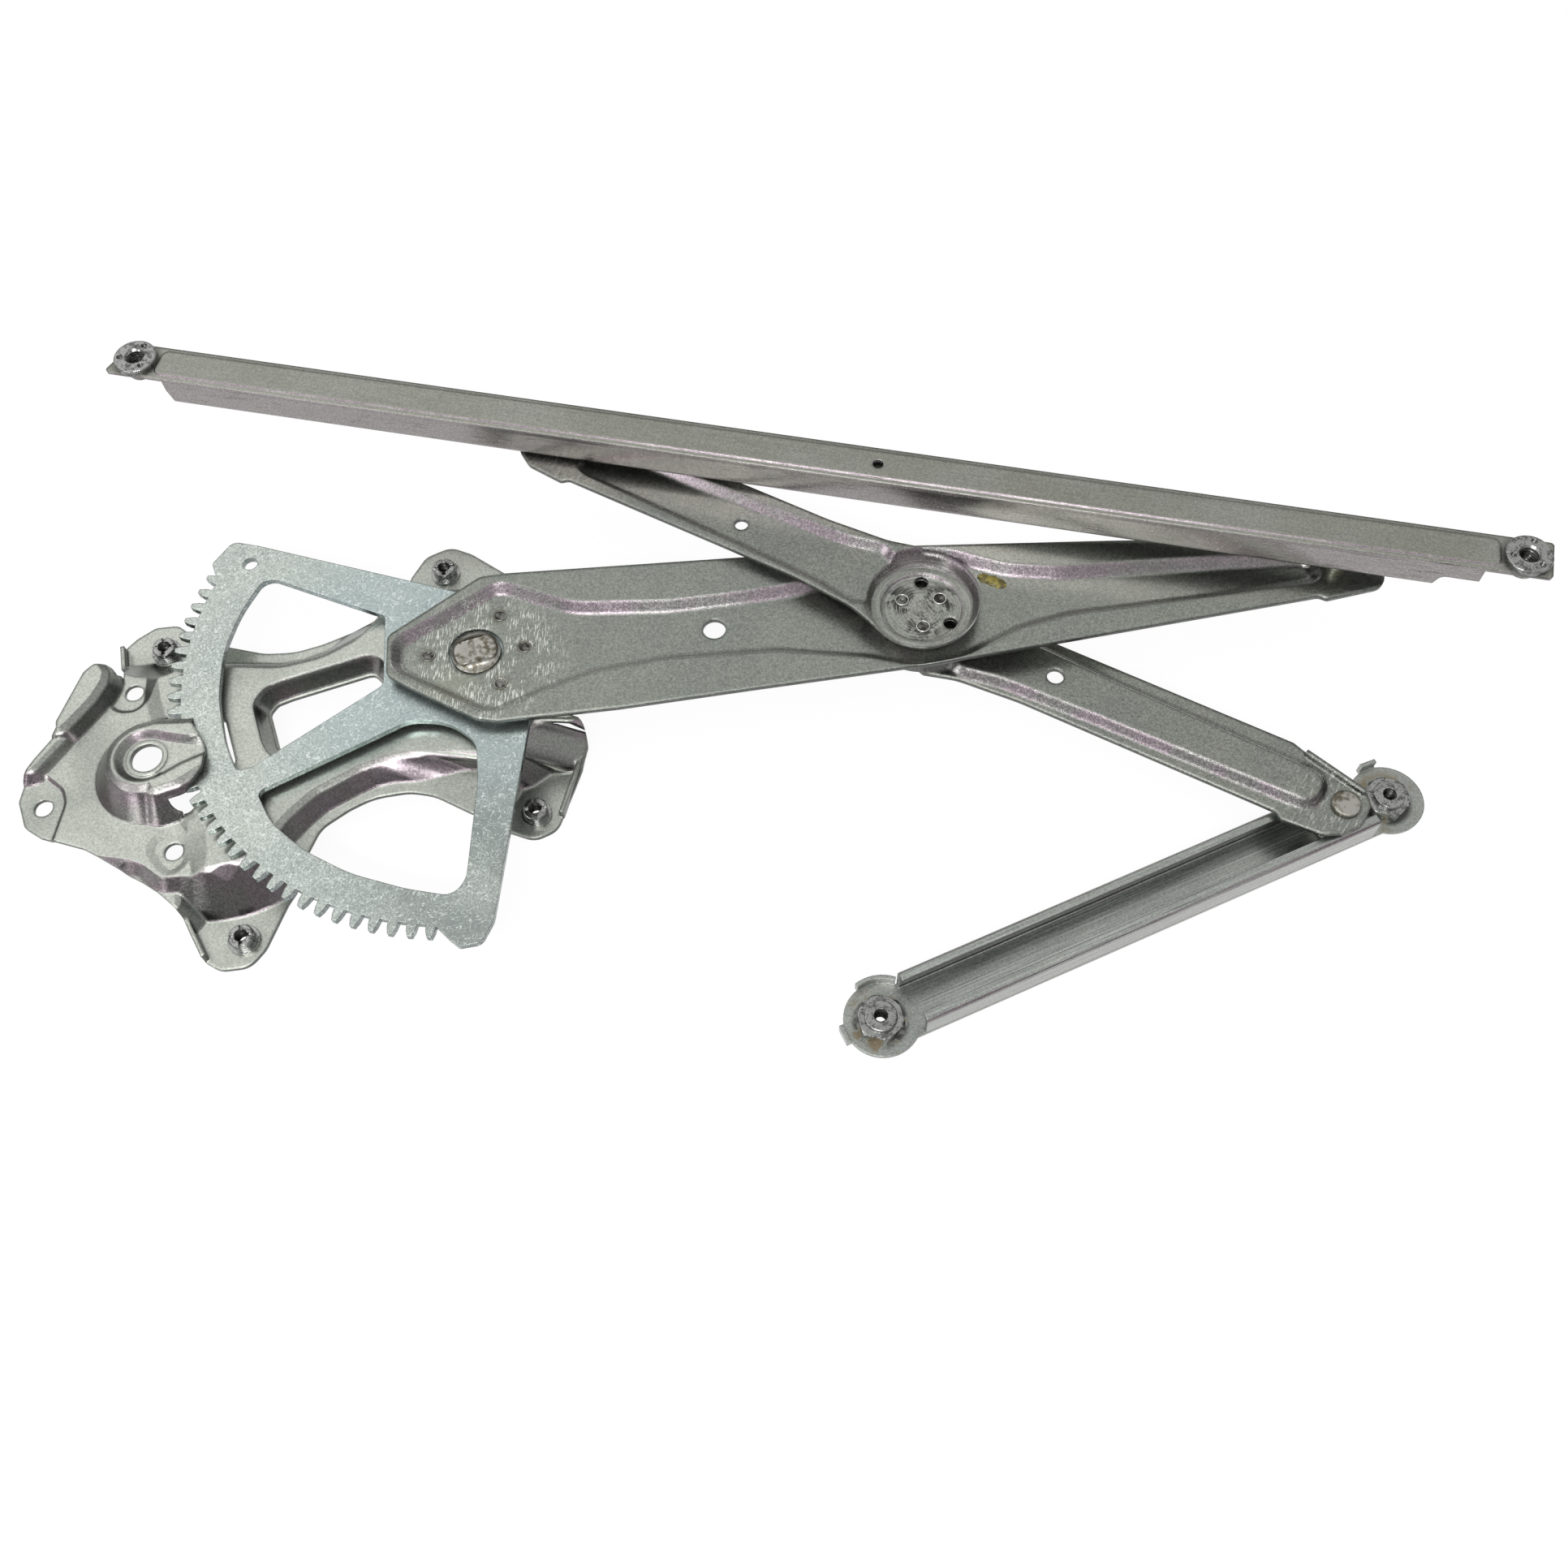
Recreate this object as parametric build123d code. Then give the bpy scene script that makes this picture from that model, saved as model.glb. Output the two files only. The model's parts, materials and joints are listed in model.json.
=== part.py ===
"""Cross-arm window regulator for a vehicle door, lying flat with its door-panel side down.

The main pivot of the lift arm is the working centre of the layout: every position below is given
from it, in millimetres, with +X along the glass channel, +Y in the lifting direction and +Z out of
the door panel.  At the end the whole layout is moved so that the uppermost panel nut is the origin.
"""
import os
from math import cos, hypot, radians, sin, tan

from build123d import *

# ---------------------------------------------------------------- driving dimensions
# Linkage: the lift arm and the equalizer arm cross at the scissor pivot.
LEG = 176.0              # main pivot to scissor pivot, and scissor pivot to guide roller
REACH = 165.0            # scissor pivot to each roller of the glass channel
FOLD = 17.0              # angle of both arms to the glass channel, degrees
GUIDE_ANGLE = 35.4       # attitude of the loose guide rail, degrees

# Sector gear
MODULE = 2.25
CIRCLE_TEETH = 105       # teeth that a full circle would hold
SECTOR_TEETH = 32        # teeth that the sector really has
FIRST_TOOTH = 172.54     # angle of the first tooth from +X, degrees
PINION_TEETH = 10        # of the motor pinion that drives the sector
PINION_ANGLE = 212.6     # where the motor pinion sits round the main pivot, degrees

# Sheet thicknesses
BASE_SHEET = 1.6
SECTOR_SHEET = 2.8
LIFT_SHEET = 2.0
ARM_SHEET = 1.8
GLASS_SHEET = 1.5
GUIDE_SHEET = 1.6

# Heights above the door panel
DECK = 17.0              # top of the base plate's raised deck, where the motor sits
CROWN = 19.4             # top of its two arms and of the ground round the pivot
RIM = 11.5               # flat rim along the free edges of the arms
BOSS = 21.4              # top of its pivot boss
DOME = 29.4              # top of the dome over the motor pinion
SECTOR_TOP = 25.0
LIFT_RISE = 4.0          # margins of the lift arm over its sunken web
ARM_RISE = 3.2           # margins of the equalizer halves over their sunken web
GLASS_LIPS = 38.0        # underside of the glass channel's lips
GLASS_FACE = 52.0        # top of the glass channel's face
GUIDE_DEPTH = 13.5       # height of the guide rail

# Clearances
SLIDE_GAP = 0.2          # between flat faces that slide past each other
ARM_GAP = 0.4            # between the lift arm's margins and the equalizer half over them
RUN_FIT = 0.05           # radial clearance of a pin in its bore
ROLLER_GAP = 0.35        # between a roller and the channel walls on each side

# Pins, rollers and threads
PIVOT_R = 8.0            # main pivot shaft
HUB_R = 17.0             # joined hub discs of the equalizer halves
PIN_R = 4.0
HEAD_R = 5.6
GLASS_WIDTH = 17.0       # outside width of the glass channel
GLASS_LIP = 3.4          # how far its lips turn in, from the outside
GUIDE_WIDTH = 21.4       # outside width of the guide rail
GUIDE_LIP = 4.0
M6_BORE_R = 2.55
M8_BORE_R = 3.35

# ---------------------------------------------------------------- what follows from them
PITCH_R = MODULE * CIRCLE_TEETH / 2
TIP_R = PITCH_R + MODULE
ROOT_R = PITCH_R - 1.25 * MODULE
CENTRE_DISTANCE = MODULE * (CIRCLE_TEETH + PINION_TEETH) / 2
TOOTH_STEP = 360 / CIRCLE_TEETH

SECTOR_BOTTOM = SECTOR_TOP - SECTOR_SHEET
LIFT_WEB = SECTOR_TOP + LIFT_SHEET
LIFT_TOP = LIFT_WEB + LIFT_RISE
ARM_WEB = LIFT_TOP + ARM_GAP + ARM_SHEET
ARM_TOP = ARM_WEB + ARM_RISE
HUB_RIM = LIFT_WEB + SLIDE_GAP + ARM_SHEET
CROSSING = SECTOR_TOP + LIFT_SHEET / 2      # the rear half mirrors the front half about this level
HUB_DISC = CROSSING + ARM_SHEET


def polar(r, angle):
    """The point at a radius and an angle in degrees round the main pivot."""
    return Vector(r * cos(radians(angle)), r * sin(radians(angle)))


SCISSOR_PIVOT = polar(LEG, FOLD)
LIFT_ROLLER = polar(LEG + REACH, FOLD)
FRONT_ROLLER = SCISSOR_PIVOT + polar(REACH, 180 - FOLD)
GUIDE_ROLLER = SCISSOR_PIVOT + polar(LEG, -FOLD)
PINION = polar(CENTRE_DISTANCE, PINION_ANGLE)
PANEL_NUTS = {
    "upper": (-33.7, 50.4),
    "left": (-135.4, -9.3),
    "lower": (-57.1, -124.8),
    "right": (35.7, -53.0),
}
MOTOR_HOLES = [(-146.1, -92.7), (-132.3, -37.5), (-89.7, -100.6)]
DATUM = Pos(-PANEL_NUTS["upper"][0], -PANEL_NUTS["upper"][1], 0)


# ---------------------------------------------------------------- shared shapes
def outline(*corners, r=2.0):
    """A flat face through the corners.  Each one is (x, y) or (x, y, its own rounding)."""
    pts = [Vector(c[0], c[1]) for c in corners]
    edges = []
    ends = []
    for i, corner in enumerate(corners):
        here = pts[i]
        back = pts[i - 1] - here
        ahead = pts[(i + 1) % len(pts)] - here
        half_bend = radians(180 - back.get_angle(ahead)) / 2
        want = corner[2] if len(corner) > 2 else r
        reach = min(want * tan(half_bend), 0.49 * min(back.length, ahead.length))
        first = here
        last = here
        if reach > 0.02:
            radius = reach / tan(half_bend)
            inward = (back.normalized() + ahead.normalized()).normalized()
            middle = here + inward * (hypot(radius, reach) - radius)
            first = here + back.normalized() * reach
            last = here + ahead.normalized() * reach
            edges.append(ThreePointArc(first, middle, last))
        ends.append((first, last))
    for i in range(len(pts)):
        edges.append(Line(ends[i - 1][1], ends[i][0]))
    return make_face(edges)


def disc(r, bottom, top, at=(0, 0)):
    """An upright cylinder between two heights."""
    return Pos(at[0], at[1], bottom) * extrude(Circle(r), amount=top - bottom)


def prism(face, bottom, top):
    """A flat face carried straight up between two heights."""
    return Pos(0, 0, bottom) * extrude(face, amount=top - bottom)


def hollow(floor, bottom, top, slope=45):
    """A pocket with this floor, whose walls lean outwards on the way up."""
    return Pos(0, 0, bottom) * extrude(floor, amount=top - bottom, taper=-slope)


def plateau(crown, bottom, top, slope=45):
    """Raised ground with this crown, whose walls lean outwards on the way down."""
    return Pos(0, 0, top) * extrude(crown, amount=bottom - top, taper=-slope)


def soft_plateau(crown, bottom, top, soft, slope=42):
    """A plateau whose upper edge is eased by a band of half the steepness."""
    easy = (slope + 90) / 2
    shoulder = offset(crown, soft * tan(radians(easy)))
    return plateau(crown, top - soft, top, easy) + plateau(shoulder, bottom, top - soft, slope)


def edges_at(solid, height):
    """The edges of a solid that lie at one height."""
    return solid.edges().filter_by_position(Axis.Z, height - 0.01, height + 0.01)


def arm_from(pivot, angle):
    """The place of an arm drawn along +X from its pivot."""
    return Pos(pivot.X, pivot.Y, 0) * Rot(0, 0, angle)


def label(solid, name):
    """Moves one finished piece to the final origin and writes it out under its name."""
    placed = DATUM * solid
    export_step(placed, "parts/" + name + ".step")
    return placed


os.makedirs("parts", exist_ok=True)


# ---------------------------------------------------------------- sector gear
def tooth(angle):
    """One tooth of the sector: straight flanks with a slight waist, from under the root."""
    half_root = 0.72 * MODULE * 1.22
    half_pitch = 0.72 * MODULE
    half_tip = 0.72 * MODULE * 0.52
    profile = Polyline(
        (ROOT_R - 1.5, half_root),
        (ROOT_R, half_root),
        (PITCH_R, half_pitch),
        (TIP_R, half_tip),
        (TIP_R, -half_tip),
        (PITCH_R, -half_pitch),
        (ROOT_R, -half_root),
        (ROOT_R - 1.5, -half_root),
        close=True,
    )
    return Rot(0, 0, angle) * make_face(profile)


def sector_gear():
    """The toothed plate under the lift arm, with two windows between its three spokes."""
    last_tooth = FIRST_TOOTH + (SECTOR_TEETH - 1) * TOOTH_STEP
    fan = make_face(
        [
            Line(polar(20, FIRST_TOOTH), polar(ROOT_R, FIRST_TOOTH)),
            ThreePointArc(
                polar(ROOT_R, FIRST_TOOTH),
                polar(ROOT_R, (FIRST_TOOTH + last_tooth) / 2),
                polar(ROOT_R, last_tooth),
            ),
            Line(polar(ROOT_R, last_tooth), polar(20, last_tooth)),
            Line(polar(20, last_tooth), polar(20, FIRST_TOOTH)),
        ]
    )
    upper_end = outline(
        (-110, 12), (-116.6, 17.6, 1), (-119.8, 22.4), (-115.4, 34.6, 4), (-104, 34.5, 20),
        (-24.6, 28.0, 20), (18, 24, 10), (26, 0, 10), (0, -20), r=2,
    )
    lower_end = outline(
        (14.4, -111), (25.6, -118.0, 1), (30.0, -120.2, 2), (37.4, -117.2, 4), (39.3, -108, 10),
        (29.5, -29.9, 20), (26, 0, 10), (0, 20), (-40, -40), r=2,
    )
    body = fan + upper_end + lower_end + Circle(30)
    for k in range(SECTOR_TEETH):
        body += tooth(FIRST_TOOTH + k * TOOTH_STEP)
    upper_window = outline(
        (-95.8, 20.6, 6), (-99.6, 2, 60), (-99.3, -18, 60), (-93.2, -38.2, 60), (-83.6, -56.0, 60),
        (-74.6, -67.6, 3), (-69.2, -65.0, 4), (-31.7, -20.5, 4), (-41.5, 10.8, 3), (-79.9, 17.7, 30),
    )
    lower_window = outline(
        (-63.6, -74.6, 3), (-26.0, -42.0, 20), (-17.0, -34.0, 14), (-2.0, -31.5, 24),
        (11.5, -38.0, 12), (17.2, -55, 20), (24.9, -95.0, 20), (21.4, -101.8, 8),
        (4, -102.2, 60), (-18, -100.2, 60), (-38, -94.4, 60), (-54.2, -85.6, 30), r=10,
    )
    face = body - upper_window - lower_window
    face -= Pos(-104.4, 25.3) * Circle(3.0)
    face -= Circle(PIVOT_R + RUN_FIT)
    for at in RIVETS:
        face -= Rot(0, 0, FOLD) * Pos(at[0], at[1]) * Circle(2.0)
    return prism(face, SECTOR_BOTTOM, SECTOR_TOP)


# ---------------------------------------------------------------- lift arm
LIFT_LENGTH = LEG + REACH
RIVETS = [(9.6, 16.0), (19.1, 0.0), (-18.4, 0.0), (9.6, -16.0)]
RING_R = 10.65


def pressed(whole, pocket, bottom, top, sheet):
    """Sheet metal pressed into a pocket: the flat blank and the pocket moved down by the sheet."""
    blank = prism(whole, bottom, top)
    tool = Pos(0, 0, top - sheet) * Box(1200, 600, 100, align=(Align.CENTER, Align.CENTER, Align.MAX))
    tool -= Pos(0, 0, -sheet) * pocket
    return blank - pocket - tool


def lift_arm():
    """The long arm: high flat margins round a web that is sunk on to the sector gear."""
    tip = LIFT_LENGTH
    whole = outline(
        (-29.0, 11.6, 4), (-33.8, 8.4, 4), (-33.8, -9.8, 4), (-24.6, -16.6, 6), (1.1, -33.4, 5),
        (9.0, -35.2, 6), (54.4, -34.4, 60), (107, -31.4, 60), (LEG + 2, -27.8, 60), (tip - 10.5, -13.6, 4),
        (tip - 7.5, -15.4, 2), (tip + 15.6, -12.2, 6), (tip + 18.4, -4, 6), (tip + 16.8, 8.0, 6),
        (tip - 10, 14.6, 20), (LEG + 81.8, 21.8, 60), (LEG + 2, 28.4, 60), (107, 30.6, 60),
        (12.9, 33.4, 6), (2.4, 32.8, 5),
    )
    web = outline(
        (-28.6, 4.5, 5), (-28.6, -5.5, 5), (-8.9, -18.0, 10), (6.2, -27.6, 6), (25.7, -19.6, 30),
        (47, -13.2, 40), (75.2, -10.6, 30), (LEG - 58.4, -11.7, 40), (LEG - 23.5, -18.6, 40),
        (LEG - 6, -24.6, 20), (LEG + 12, -22.6, 20), (LEG + 34.8, -12.0, 40), (LEG + 56.7, -7.4, 40),
        (tip - 44.5, -5.0, 60), (tip - 10, -3.2, 3), (tip - 10, 3.4, 3), (tip - 44.5, 6.0, 60),
        (LEG + 56.7, 7.9, 40), (LEG + 34.8, 11.8, 40), (LEG + 12, 22.4, 20), (LEG - 6, 24.2, 20),
        (LEG - 23.5, 18.0, 40), (LEG - 48, 11.8, 40),
        (105.2, 10.2, 40), (76.4, 9.4, 40), (38.0, 12.7, 40), (10.2, 26.4, 8), (-7.9, 15.9, 10),
    )
    pocket = hollow(web, LIFT_WEB, LIFT_TOP + 1)
    arm = pressed(whole, pocket, SECTOR_TOP, LIFT_TOP, LIFT_SHEET)
    arm = fillet(edges_at(arm, LIFT_WEB), 1.2)
    arm -= disc(RING_R, 0, 60)
    arm -= disc(HUB_R + RUN_FIT, 0, 60, (LEG, 0))
    arm -= disc(4.5, 0, 60, (93.9, 0))
    arm -= disc(PIN_R, 0, 60, (tip, 0))
    for at in RIVETS:
        arm -= disc(2.0, 0, 60, at)
    return arm


def rivet(at, bottom, top):
    """A closed rivet with a low domed head on the upper side."""
    shank = disc(2.0, bottom, top, at)
    head = disc(2.8, top, top + 0.7, at)
    return shank + fillet(edges_at(head, top + 0.7), 0.5)


# ---------------------------------------------------------------- equalizer halves
HUB_RIVETS = [polar(8.6, angle) for angle in (0, 120, 240)]
HUB_HOLES = [(5.6, -11.3), (-13.0, 1.0)]
ARM_END = LEG + 8.5
FRONT_TIP = [(ARM_END - 3.3, -10.7, 3), (ARM_END - 29.5, -16.4, 20)]
REAR_TIP = [(ARM_END - 2.9, -8.0, 1), (ARM_END - 29.9, -14.8, 1), (ARM_END - 34.5, -16.4, 2)]


def equalizer_half(reach, tip, hole_at, hole_r, turned=1):
    """One short arm, drawn along +X with its hub on the origin and the open side up."""
    whole = outline(
        (8.0, 21.6, 8), (24.0, 16.8, 30), (50, 14.7, 60), (ARM_END - 30.5, 14.6, 2),
        (ARM_END - 27.7, 16.8, 2), (ARM_END - 11.5, 15.6, 6), (ARM_END - 4.5, 11.4, 4),
        (ARM_END, 4.6, 4), (ARM_END, -4.2, 4),
        *tip, (50, -16.2, 60), (24.0, -17.8, 30), (8.0, -21.6, 8),
        (-8, -8), (-8, 8),
    )
    whole += Circle(HUB_R + 5.8)
    bead = outline(
        (16, 14.6, 20), (40, 9.8, 60), (80, 8.2, 60), (reach - 11.0, 6.4, 5.5),
        (reach - 11.0, -6.4, 5.5), (80, -8.2, 60), (40, -9.8, 60), (16, -14.6, 20), r=3,
    )
    pocket = hollow(bead, ARM_WEB, ARM_TOP + 1)
    well = hollow(Circle(HUB_R + 2.6), HUB_RIM, ARM_TOP + 1, slope=28)
    arm = pressed(whole, pocket + well, HUB_RIM - ARM_SHEET, ARM_TOP, ARM_SHEET)
    arm += disc(HUB_R, CROSSING, HUB_RIM)
    arm -= hollow(Circle(HUB_R - 1.6), HUB_DISC, HUB_RIM + 1, slope=40)
    arm -= disc(hole_r, 0, 60, (hole_at, 0))
    arm -= disc(PIN_R, 0, 60, (reach, 0))
    for at in HUB_RIVETS:
        arm -= disc(2.0, 0, 60, (turned * at.X, at.Y))
    for at in HUB_HOLES:
        arm -= disc(2.7, 0, 60, (turned * at[0], at[1]))
    return arm


def rear_half():
    """The half under the lift arm, drawn like the other one, with a lip folded along its tip."""
    lip = trace(Polyline((ARM_END - 29.1, -13.7), (ARM_END - 3.9, -7.4)), ARM_SHEET)
    half = equalizer_half(LEG, REAR_TIP, 58.3, 3.3, turned=-1)
    return half + prism(lip, ARM_TOP - 4.2, ARM_TOP)


# ---------------------------------------------------------------- rollers and their pins
GLASS_ROLLER_R = GLASS_WIDTH / 2 - GLASS_SHEET - ROLLER_GAP
GLASS_ROLLER_BOTTOM = GLASS_LIPS + GLASS_SHEET + ROLLER_GAP
GLASS_ROLLER_TOP = GLASS_FACE - GLASS_SHEET - ROLLER_GAP
GUIDE_ROLLER_R = GUIDE_WIDTH / 2 - GUIDE_SHEET - ROLLER_GAP
GUIDE_ROLLER_BOTTOM = GUIDE_SHEET + ROLLER_GAP
GUIDE_ROLLER_TOP = GUIDE_DEPTH - GUIDE_SHEET - ROLLER_GAP


def glass_pin(plate_bottom, plate_top):
    """A pin riveted through an arm's tip plate, with a shoulder under its roller."""
    pin = disc(HEAD_R, plate_bottom - 1.8, plate_bottom)
    pin += disc(PIN_R, plate_bottom, GLASS_ROLLER_TOP - 0.2)
    pin += disc(PIN_R + 0.8, plate_top, GLASS_ROLLER_BOTTOM - SLIDE_GAP)
    return pin


def guide_pin():
    """The guide roller's pin, drawn like its arm with the rail on the upper side."""
    level = 2 * CROSSING
    plate = ARM_TOP - ARM_SHEET
    pin = fillet(edges_at(disc(HEAD_R, plate - 1.8, plate), plate - 1.8), 0.6)
    return pin + disc(PIN_R, plate, level - GUIDE_ROLLER_BOTTOM - 0.2)


def guide_washer():
    """The spacer washer between the guide roller and the rear arm's tip plate."""
    ring = disc(6.1, GUIDE_ROLLER_TOP + 0.1, 2 * CROSSING - ARM_TOP - 0.1)
    return ring - disc(PIN_R + RUN_FIT, 0, 40)


def roller(radius, bottom, top):
    """A plastic roller with a groove in each face and rounded treads."""
    body = fillet(disc(radius, bottom, top).edges(), 0.8)
    body -= disc(PIN_R + RUN_FIT, bottom - 1, top + 1)
    groove = disc(radius - 1.4, top - 1.2, top + 1) - disc(PIN_R + 1.2, top - 2, top + 2)
    return body - groove


# ---------------------------------------------------------------- glass channel
GLASS_Y = SCISSOR_PIVOT.Y + REACH * sin(radians(FOLD))
GLASS_ENDS = (-185.6, 401.2)
GLASS_NUTS = (-174.4, 391.2)
GLASS_WALLS = (-160.3, 376.0)
GLASS_LIP_END = 359.5
GLASS_BEAD = (-164.2, 380.8)
GLASS_NUT_R = 9.0


def glass_channel():
    """The long C channel over both upper rollers: flat face up, lips turned in below."""
    left, right = GLASS_ENDS
    half = GLASS_WIDTH / 2
    face = outline((left + 6, half), (left, -half), (right - 1, -half), (right, half), r=1.5)
    plate = prism(face, GLASS_FACE - GLASS_SHEET, GLASS_FACE)
    first, last = GLASS_WALLS
    section = outline(
        (-half, GLASS_LIPS, 1.6), (-half, GLASS_FACE, 2.2), (half, GLASS_FACE, 2.2),
        (half, GLASS_LIPS, 1.6), (half - GLASS_LIP, GLASS_LIPS, 0.3),
        (half - GLASS_LIP, GLASS_LIPS + GLASS_SHEET, 0.3),
        (half - GLASS_SHEET, GLASS_LIPS + GLASS_SHEET, 0.3),
        (half - GLASS_SHEET, GLASS_FACE - GLASS_SHEET, 0.7),
        (GLASS_SHEET - half, GLASS_FACE - GLASS_SHEET, 0.7),
        (GLASS_SHEET - half, GLASS_LIPS + GLASS_SHEET, 0.3),
        (GLASS_LIP - half, GLASS_LIPS + GLASS_SHEET, 0.3), (GLASS_LIP - half, GLASS_LIPS, 0.3),
    )
    channel = extrude(Plane.YZ.offset(first) * section, amount=last - first)
    past_lip = outline(
        (GLASS_LIP_END, 0, 0), (GLASS_LIP_END + 2.5, 7, 3), (last + 5, 7, 0), (last + 5, 0, 0)
    )
    slant = outline((first - 1, 0, 0), (first - 1, 12, 0), (first + 2.2, 0, 0))
    channel -= Pos(0, 0, GLASS_LIPS - 1) * extrude(Plane.XZ * (past_lip + slant), amount=20, both=True)
    body = plate + channel
    bead_length = GLASS_BEAD[1] - GLASS_BEAD[0]
    bead = Pos(sum(GLASS_BEAD) / 2, 0) * RectangleRounded(bead_length, GLASS_WIDTH - 4.6, 3.0)
    raised = plateau(bead, GLASS_FACE - 0.2, GLASS_FACE + 0.6)
    body += raised
    body -= Pos(0, 0, -GLASS_SHEET) * raised
    body -= disc(2.1, 0, 80, (141.8, 0))
    for x in GLASS_NUTS:
        body -= disc(5.4, 0, 80, (x, 0))
    return Pos(0, GLASS_Y, 0) * body


def glass_nut():
    """A round weld nut: a low disc with three dimples on a threaded barrel."""
    top = GLASS_FACE + 2.2
    nut = fillet(edges_at(disc(GLASS_NUT_R, GLASS_FACE, top), top), 0.8)
    nut += disc(5.4, GLASS_FACE - 6.5, GLASS_FACE)
    nut -= disc(M8_BORE_R, GLASS_FACE - 8, top + 1)
    mouth = Cone(M8_BORE_R, M8_BORE_R + 0.9, 0.9, align=(Align.CENTER, Align.CENTER, Align.MIN))
    nut -= Pos(0, 0, top - 0.8) * mouth
    for angle in (75, 195, 315):
        at = polar(6.4, angle)
        nut -= disc(1.2, top - 1.0, top + 1, (at.X, at.Y))
    return nut


# ---------------------------------------------------------------- guide rail
GUIDE_NUTS = (-191.4, 23.0)
GUIDE_PLATES = [(-190.2, 0.6), (24.2, 0.6)]
GUIDE_PLATE_R = 14.2
GUIDE_WALLS = (-179.8, 10.2)
GUIDE_NEAR_START = -178.4     # where the other wall begins
GUIDE_NUT_TOP = 8.0


def guide_rail():
    """The loose C rail of the guide roller, drawn along +X with the roller's place on the origin."""
    half = GUIDE_WIDTH / 2
    first, last = GUIDE_WALLS
    floor = outline((first - 9, half), (first - 9, -half), (last + 9, -half), (last + 9, half), r=0.5)
    standing = Sketch()
    fold = GUIDE_PLATE_R + 1.4
    for at, turn in zip(GUIDE_PLATES, (181, 87)):
        tab = Pos(*at) * Rot(0, 0, turn)
        floor += Pos(*at) * Circle(GUIDE_PLATE_R)
        floor += tab * Pos(fold / 2, 0) * Rectangle(fold + 0.6, 6.4)
        standing += tab * Pos(fold - 0.5, 0) * Rectangle(GUIDE_SHEET, 6.4)
    wedge = outline((0, 0), (-5.2, 20), (16, 17), r=0)
    floor += Pos(*GUIDE_PLATES[0]) * (Circle(fold) & wedge)
    standing += Pos(*GUIDE_PLATES[0]) * ((Circle(fold) - Circle(fold - GUIDE_SHEET)) & wedge)
    rail = prism(floor, 0, GUIDE_SHEET) + prism(standing, 0, 5.0)
    section = outline(
        (-half, 0, 2.2), (half, 0, 2.2), (half, GUIDE_DEPTH, 1.8),
        (half - GUIDE_LIP, GUIDE_DEPTH, 0.3), (half - GUIDE_LIP, GUIDE_DEPTH - GUIDE_SHEET, 0.3),
        (half - GUIDE_SHEET, GUIDE_DEPTH - GUIDE_SHEET, 0.3), (half - GUIDE_SHEET, GUIDE_SHEET, 0.6),
        (GUIDE_SHEET - half, GUIDE_SHEET, 0.6), (GUIDE_SHEET - half, GUIDE_DEPTH - GUIDE_SHEET, 0.3),
        (GUIDE_LIP - half, GUIDE_DEPTH - GUIDE_SHEET, 0.3), (GUIDE_LIP - half, GUIDE_DEPTH, 0.3),
        (-half, GUIDE_DEPTH, 1.8),
    )
    rail += extrude(Plane.YZ.offset(first) * section, amount=last - first)
    open_corner = Box(10, 12, 40, align=(Align.MAX, Align.MAX, Align.MIN))
    rail -= Pos(GUIDE_NEAR_START, -half + GUIDE_LIP + 0.5, GUIDE_SHEET) * open_corner
    for x in GUIDE_NUTS:
        rail -= disc(4.5, -5, GUIDE_SHEET + 0.1, (x, 0))
    return rail


def guide_nut():
    """A hexagonal nut with a crimped collar, staked in the rail's end plate."""
    hexagon_top = GUIDE_NUT_TOP - 1.8
    nut = prism(Rot(0, 0, 20) * RegularPolygon(7.9, 6, major_radius=False), GUIDE_SHEET, hexagon_top)
    nut &= fillet(edges_at(disc(9.0, GUIDE_SHEET, hexagon_top), hexagon_top), 1.3)
    nut += fillet(edges_at(disc(6.0, GUIDE_SHEET, GUIDE_NUT_TOP), GUIDE_NUT_TOP), 0.7)
    nut += disc(4.5, 0, GUIDE_SHEET)
    return nut - disc(M6_BORE_R, -1, 12)


# ---------------------------------------------------------------- base plate
EAR = 23.6               # top of the ear's lip
EAR_FLANGE = 21.0        # top of the low flange that runs on from the ear
PAD = DECK - 1.0         # sunken pads of the motor screws
MOUTH_TOP = SECTOR_TOP + 0.25
PINION_BORE_R = 6.0
ARMS_CROWN = [
    (-175, -80), (-165, -38), (-146, -33.5, 4), (-139.5, -31.5, 2), (-131, -27.5, 8), (-121.5, -26, 8),
    (-97, -20.8, 20), (-77.5, -17.8, 30), (-62, -9.8, 30), (-44.5, 8.2, 16), (-42.5, 24, 10),
    (-18, 30, 12), (8, 30, 12), (24, 20, 12), (46, -8, 4), (42, -17, 3), (33.0, -18.5, 12),
    (26.5, -23, 10), (14, -39.5, 8), (-7.5, -41.8, 30), (-21.6, -46.2, 30), (-32.5, -54.0, 20),
    (-46.5, -67.4, 20), (-53, -79, 20), (-59.5, -97, 6), (-66.6, -102.1, 12), (-74, -105.2, 6),
    (-83, -106.6, 8), (-89.5, -108.6, 5), (-98.5, -104.6, 14), (-109, -103.4, 20), (-123, -104.6, 4),
    (-126, -114), (-175, -114),
]
ARMS_RIM = [
    (-106.5, 10), (-106.5, -18), (-84, -40), (-70, -75), (-56, -91, 6), (-38, -93, 4), (-30, -82),
    (13.5, -76), (15.5, -50, 6), (20, -30), (6, 0), (-30, 16), (-40, 17.5, 6), (-58, 20),
]
SKIRT_RIM = [(-126, -120), (-126, -100), (-92, -100), (-86, -112, 6), (-83.5, -119, 3), (-92, -130)]
MOTOR_FLOOR = [
    (-190, -20), (-134.5, -20), (-131.9, -29.8, 6), (-125.1, -42), (-108, -66), (-92.4, -88.5, 4),
    (-88.7, -91.7, 6), (-85.6, -97.2, 8), (-79.5, -108), (-74, -130), (-190, -130),
]
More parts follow.
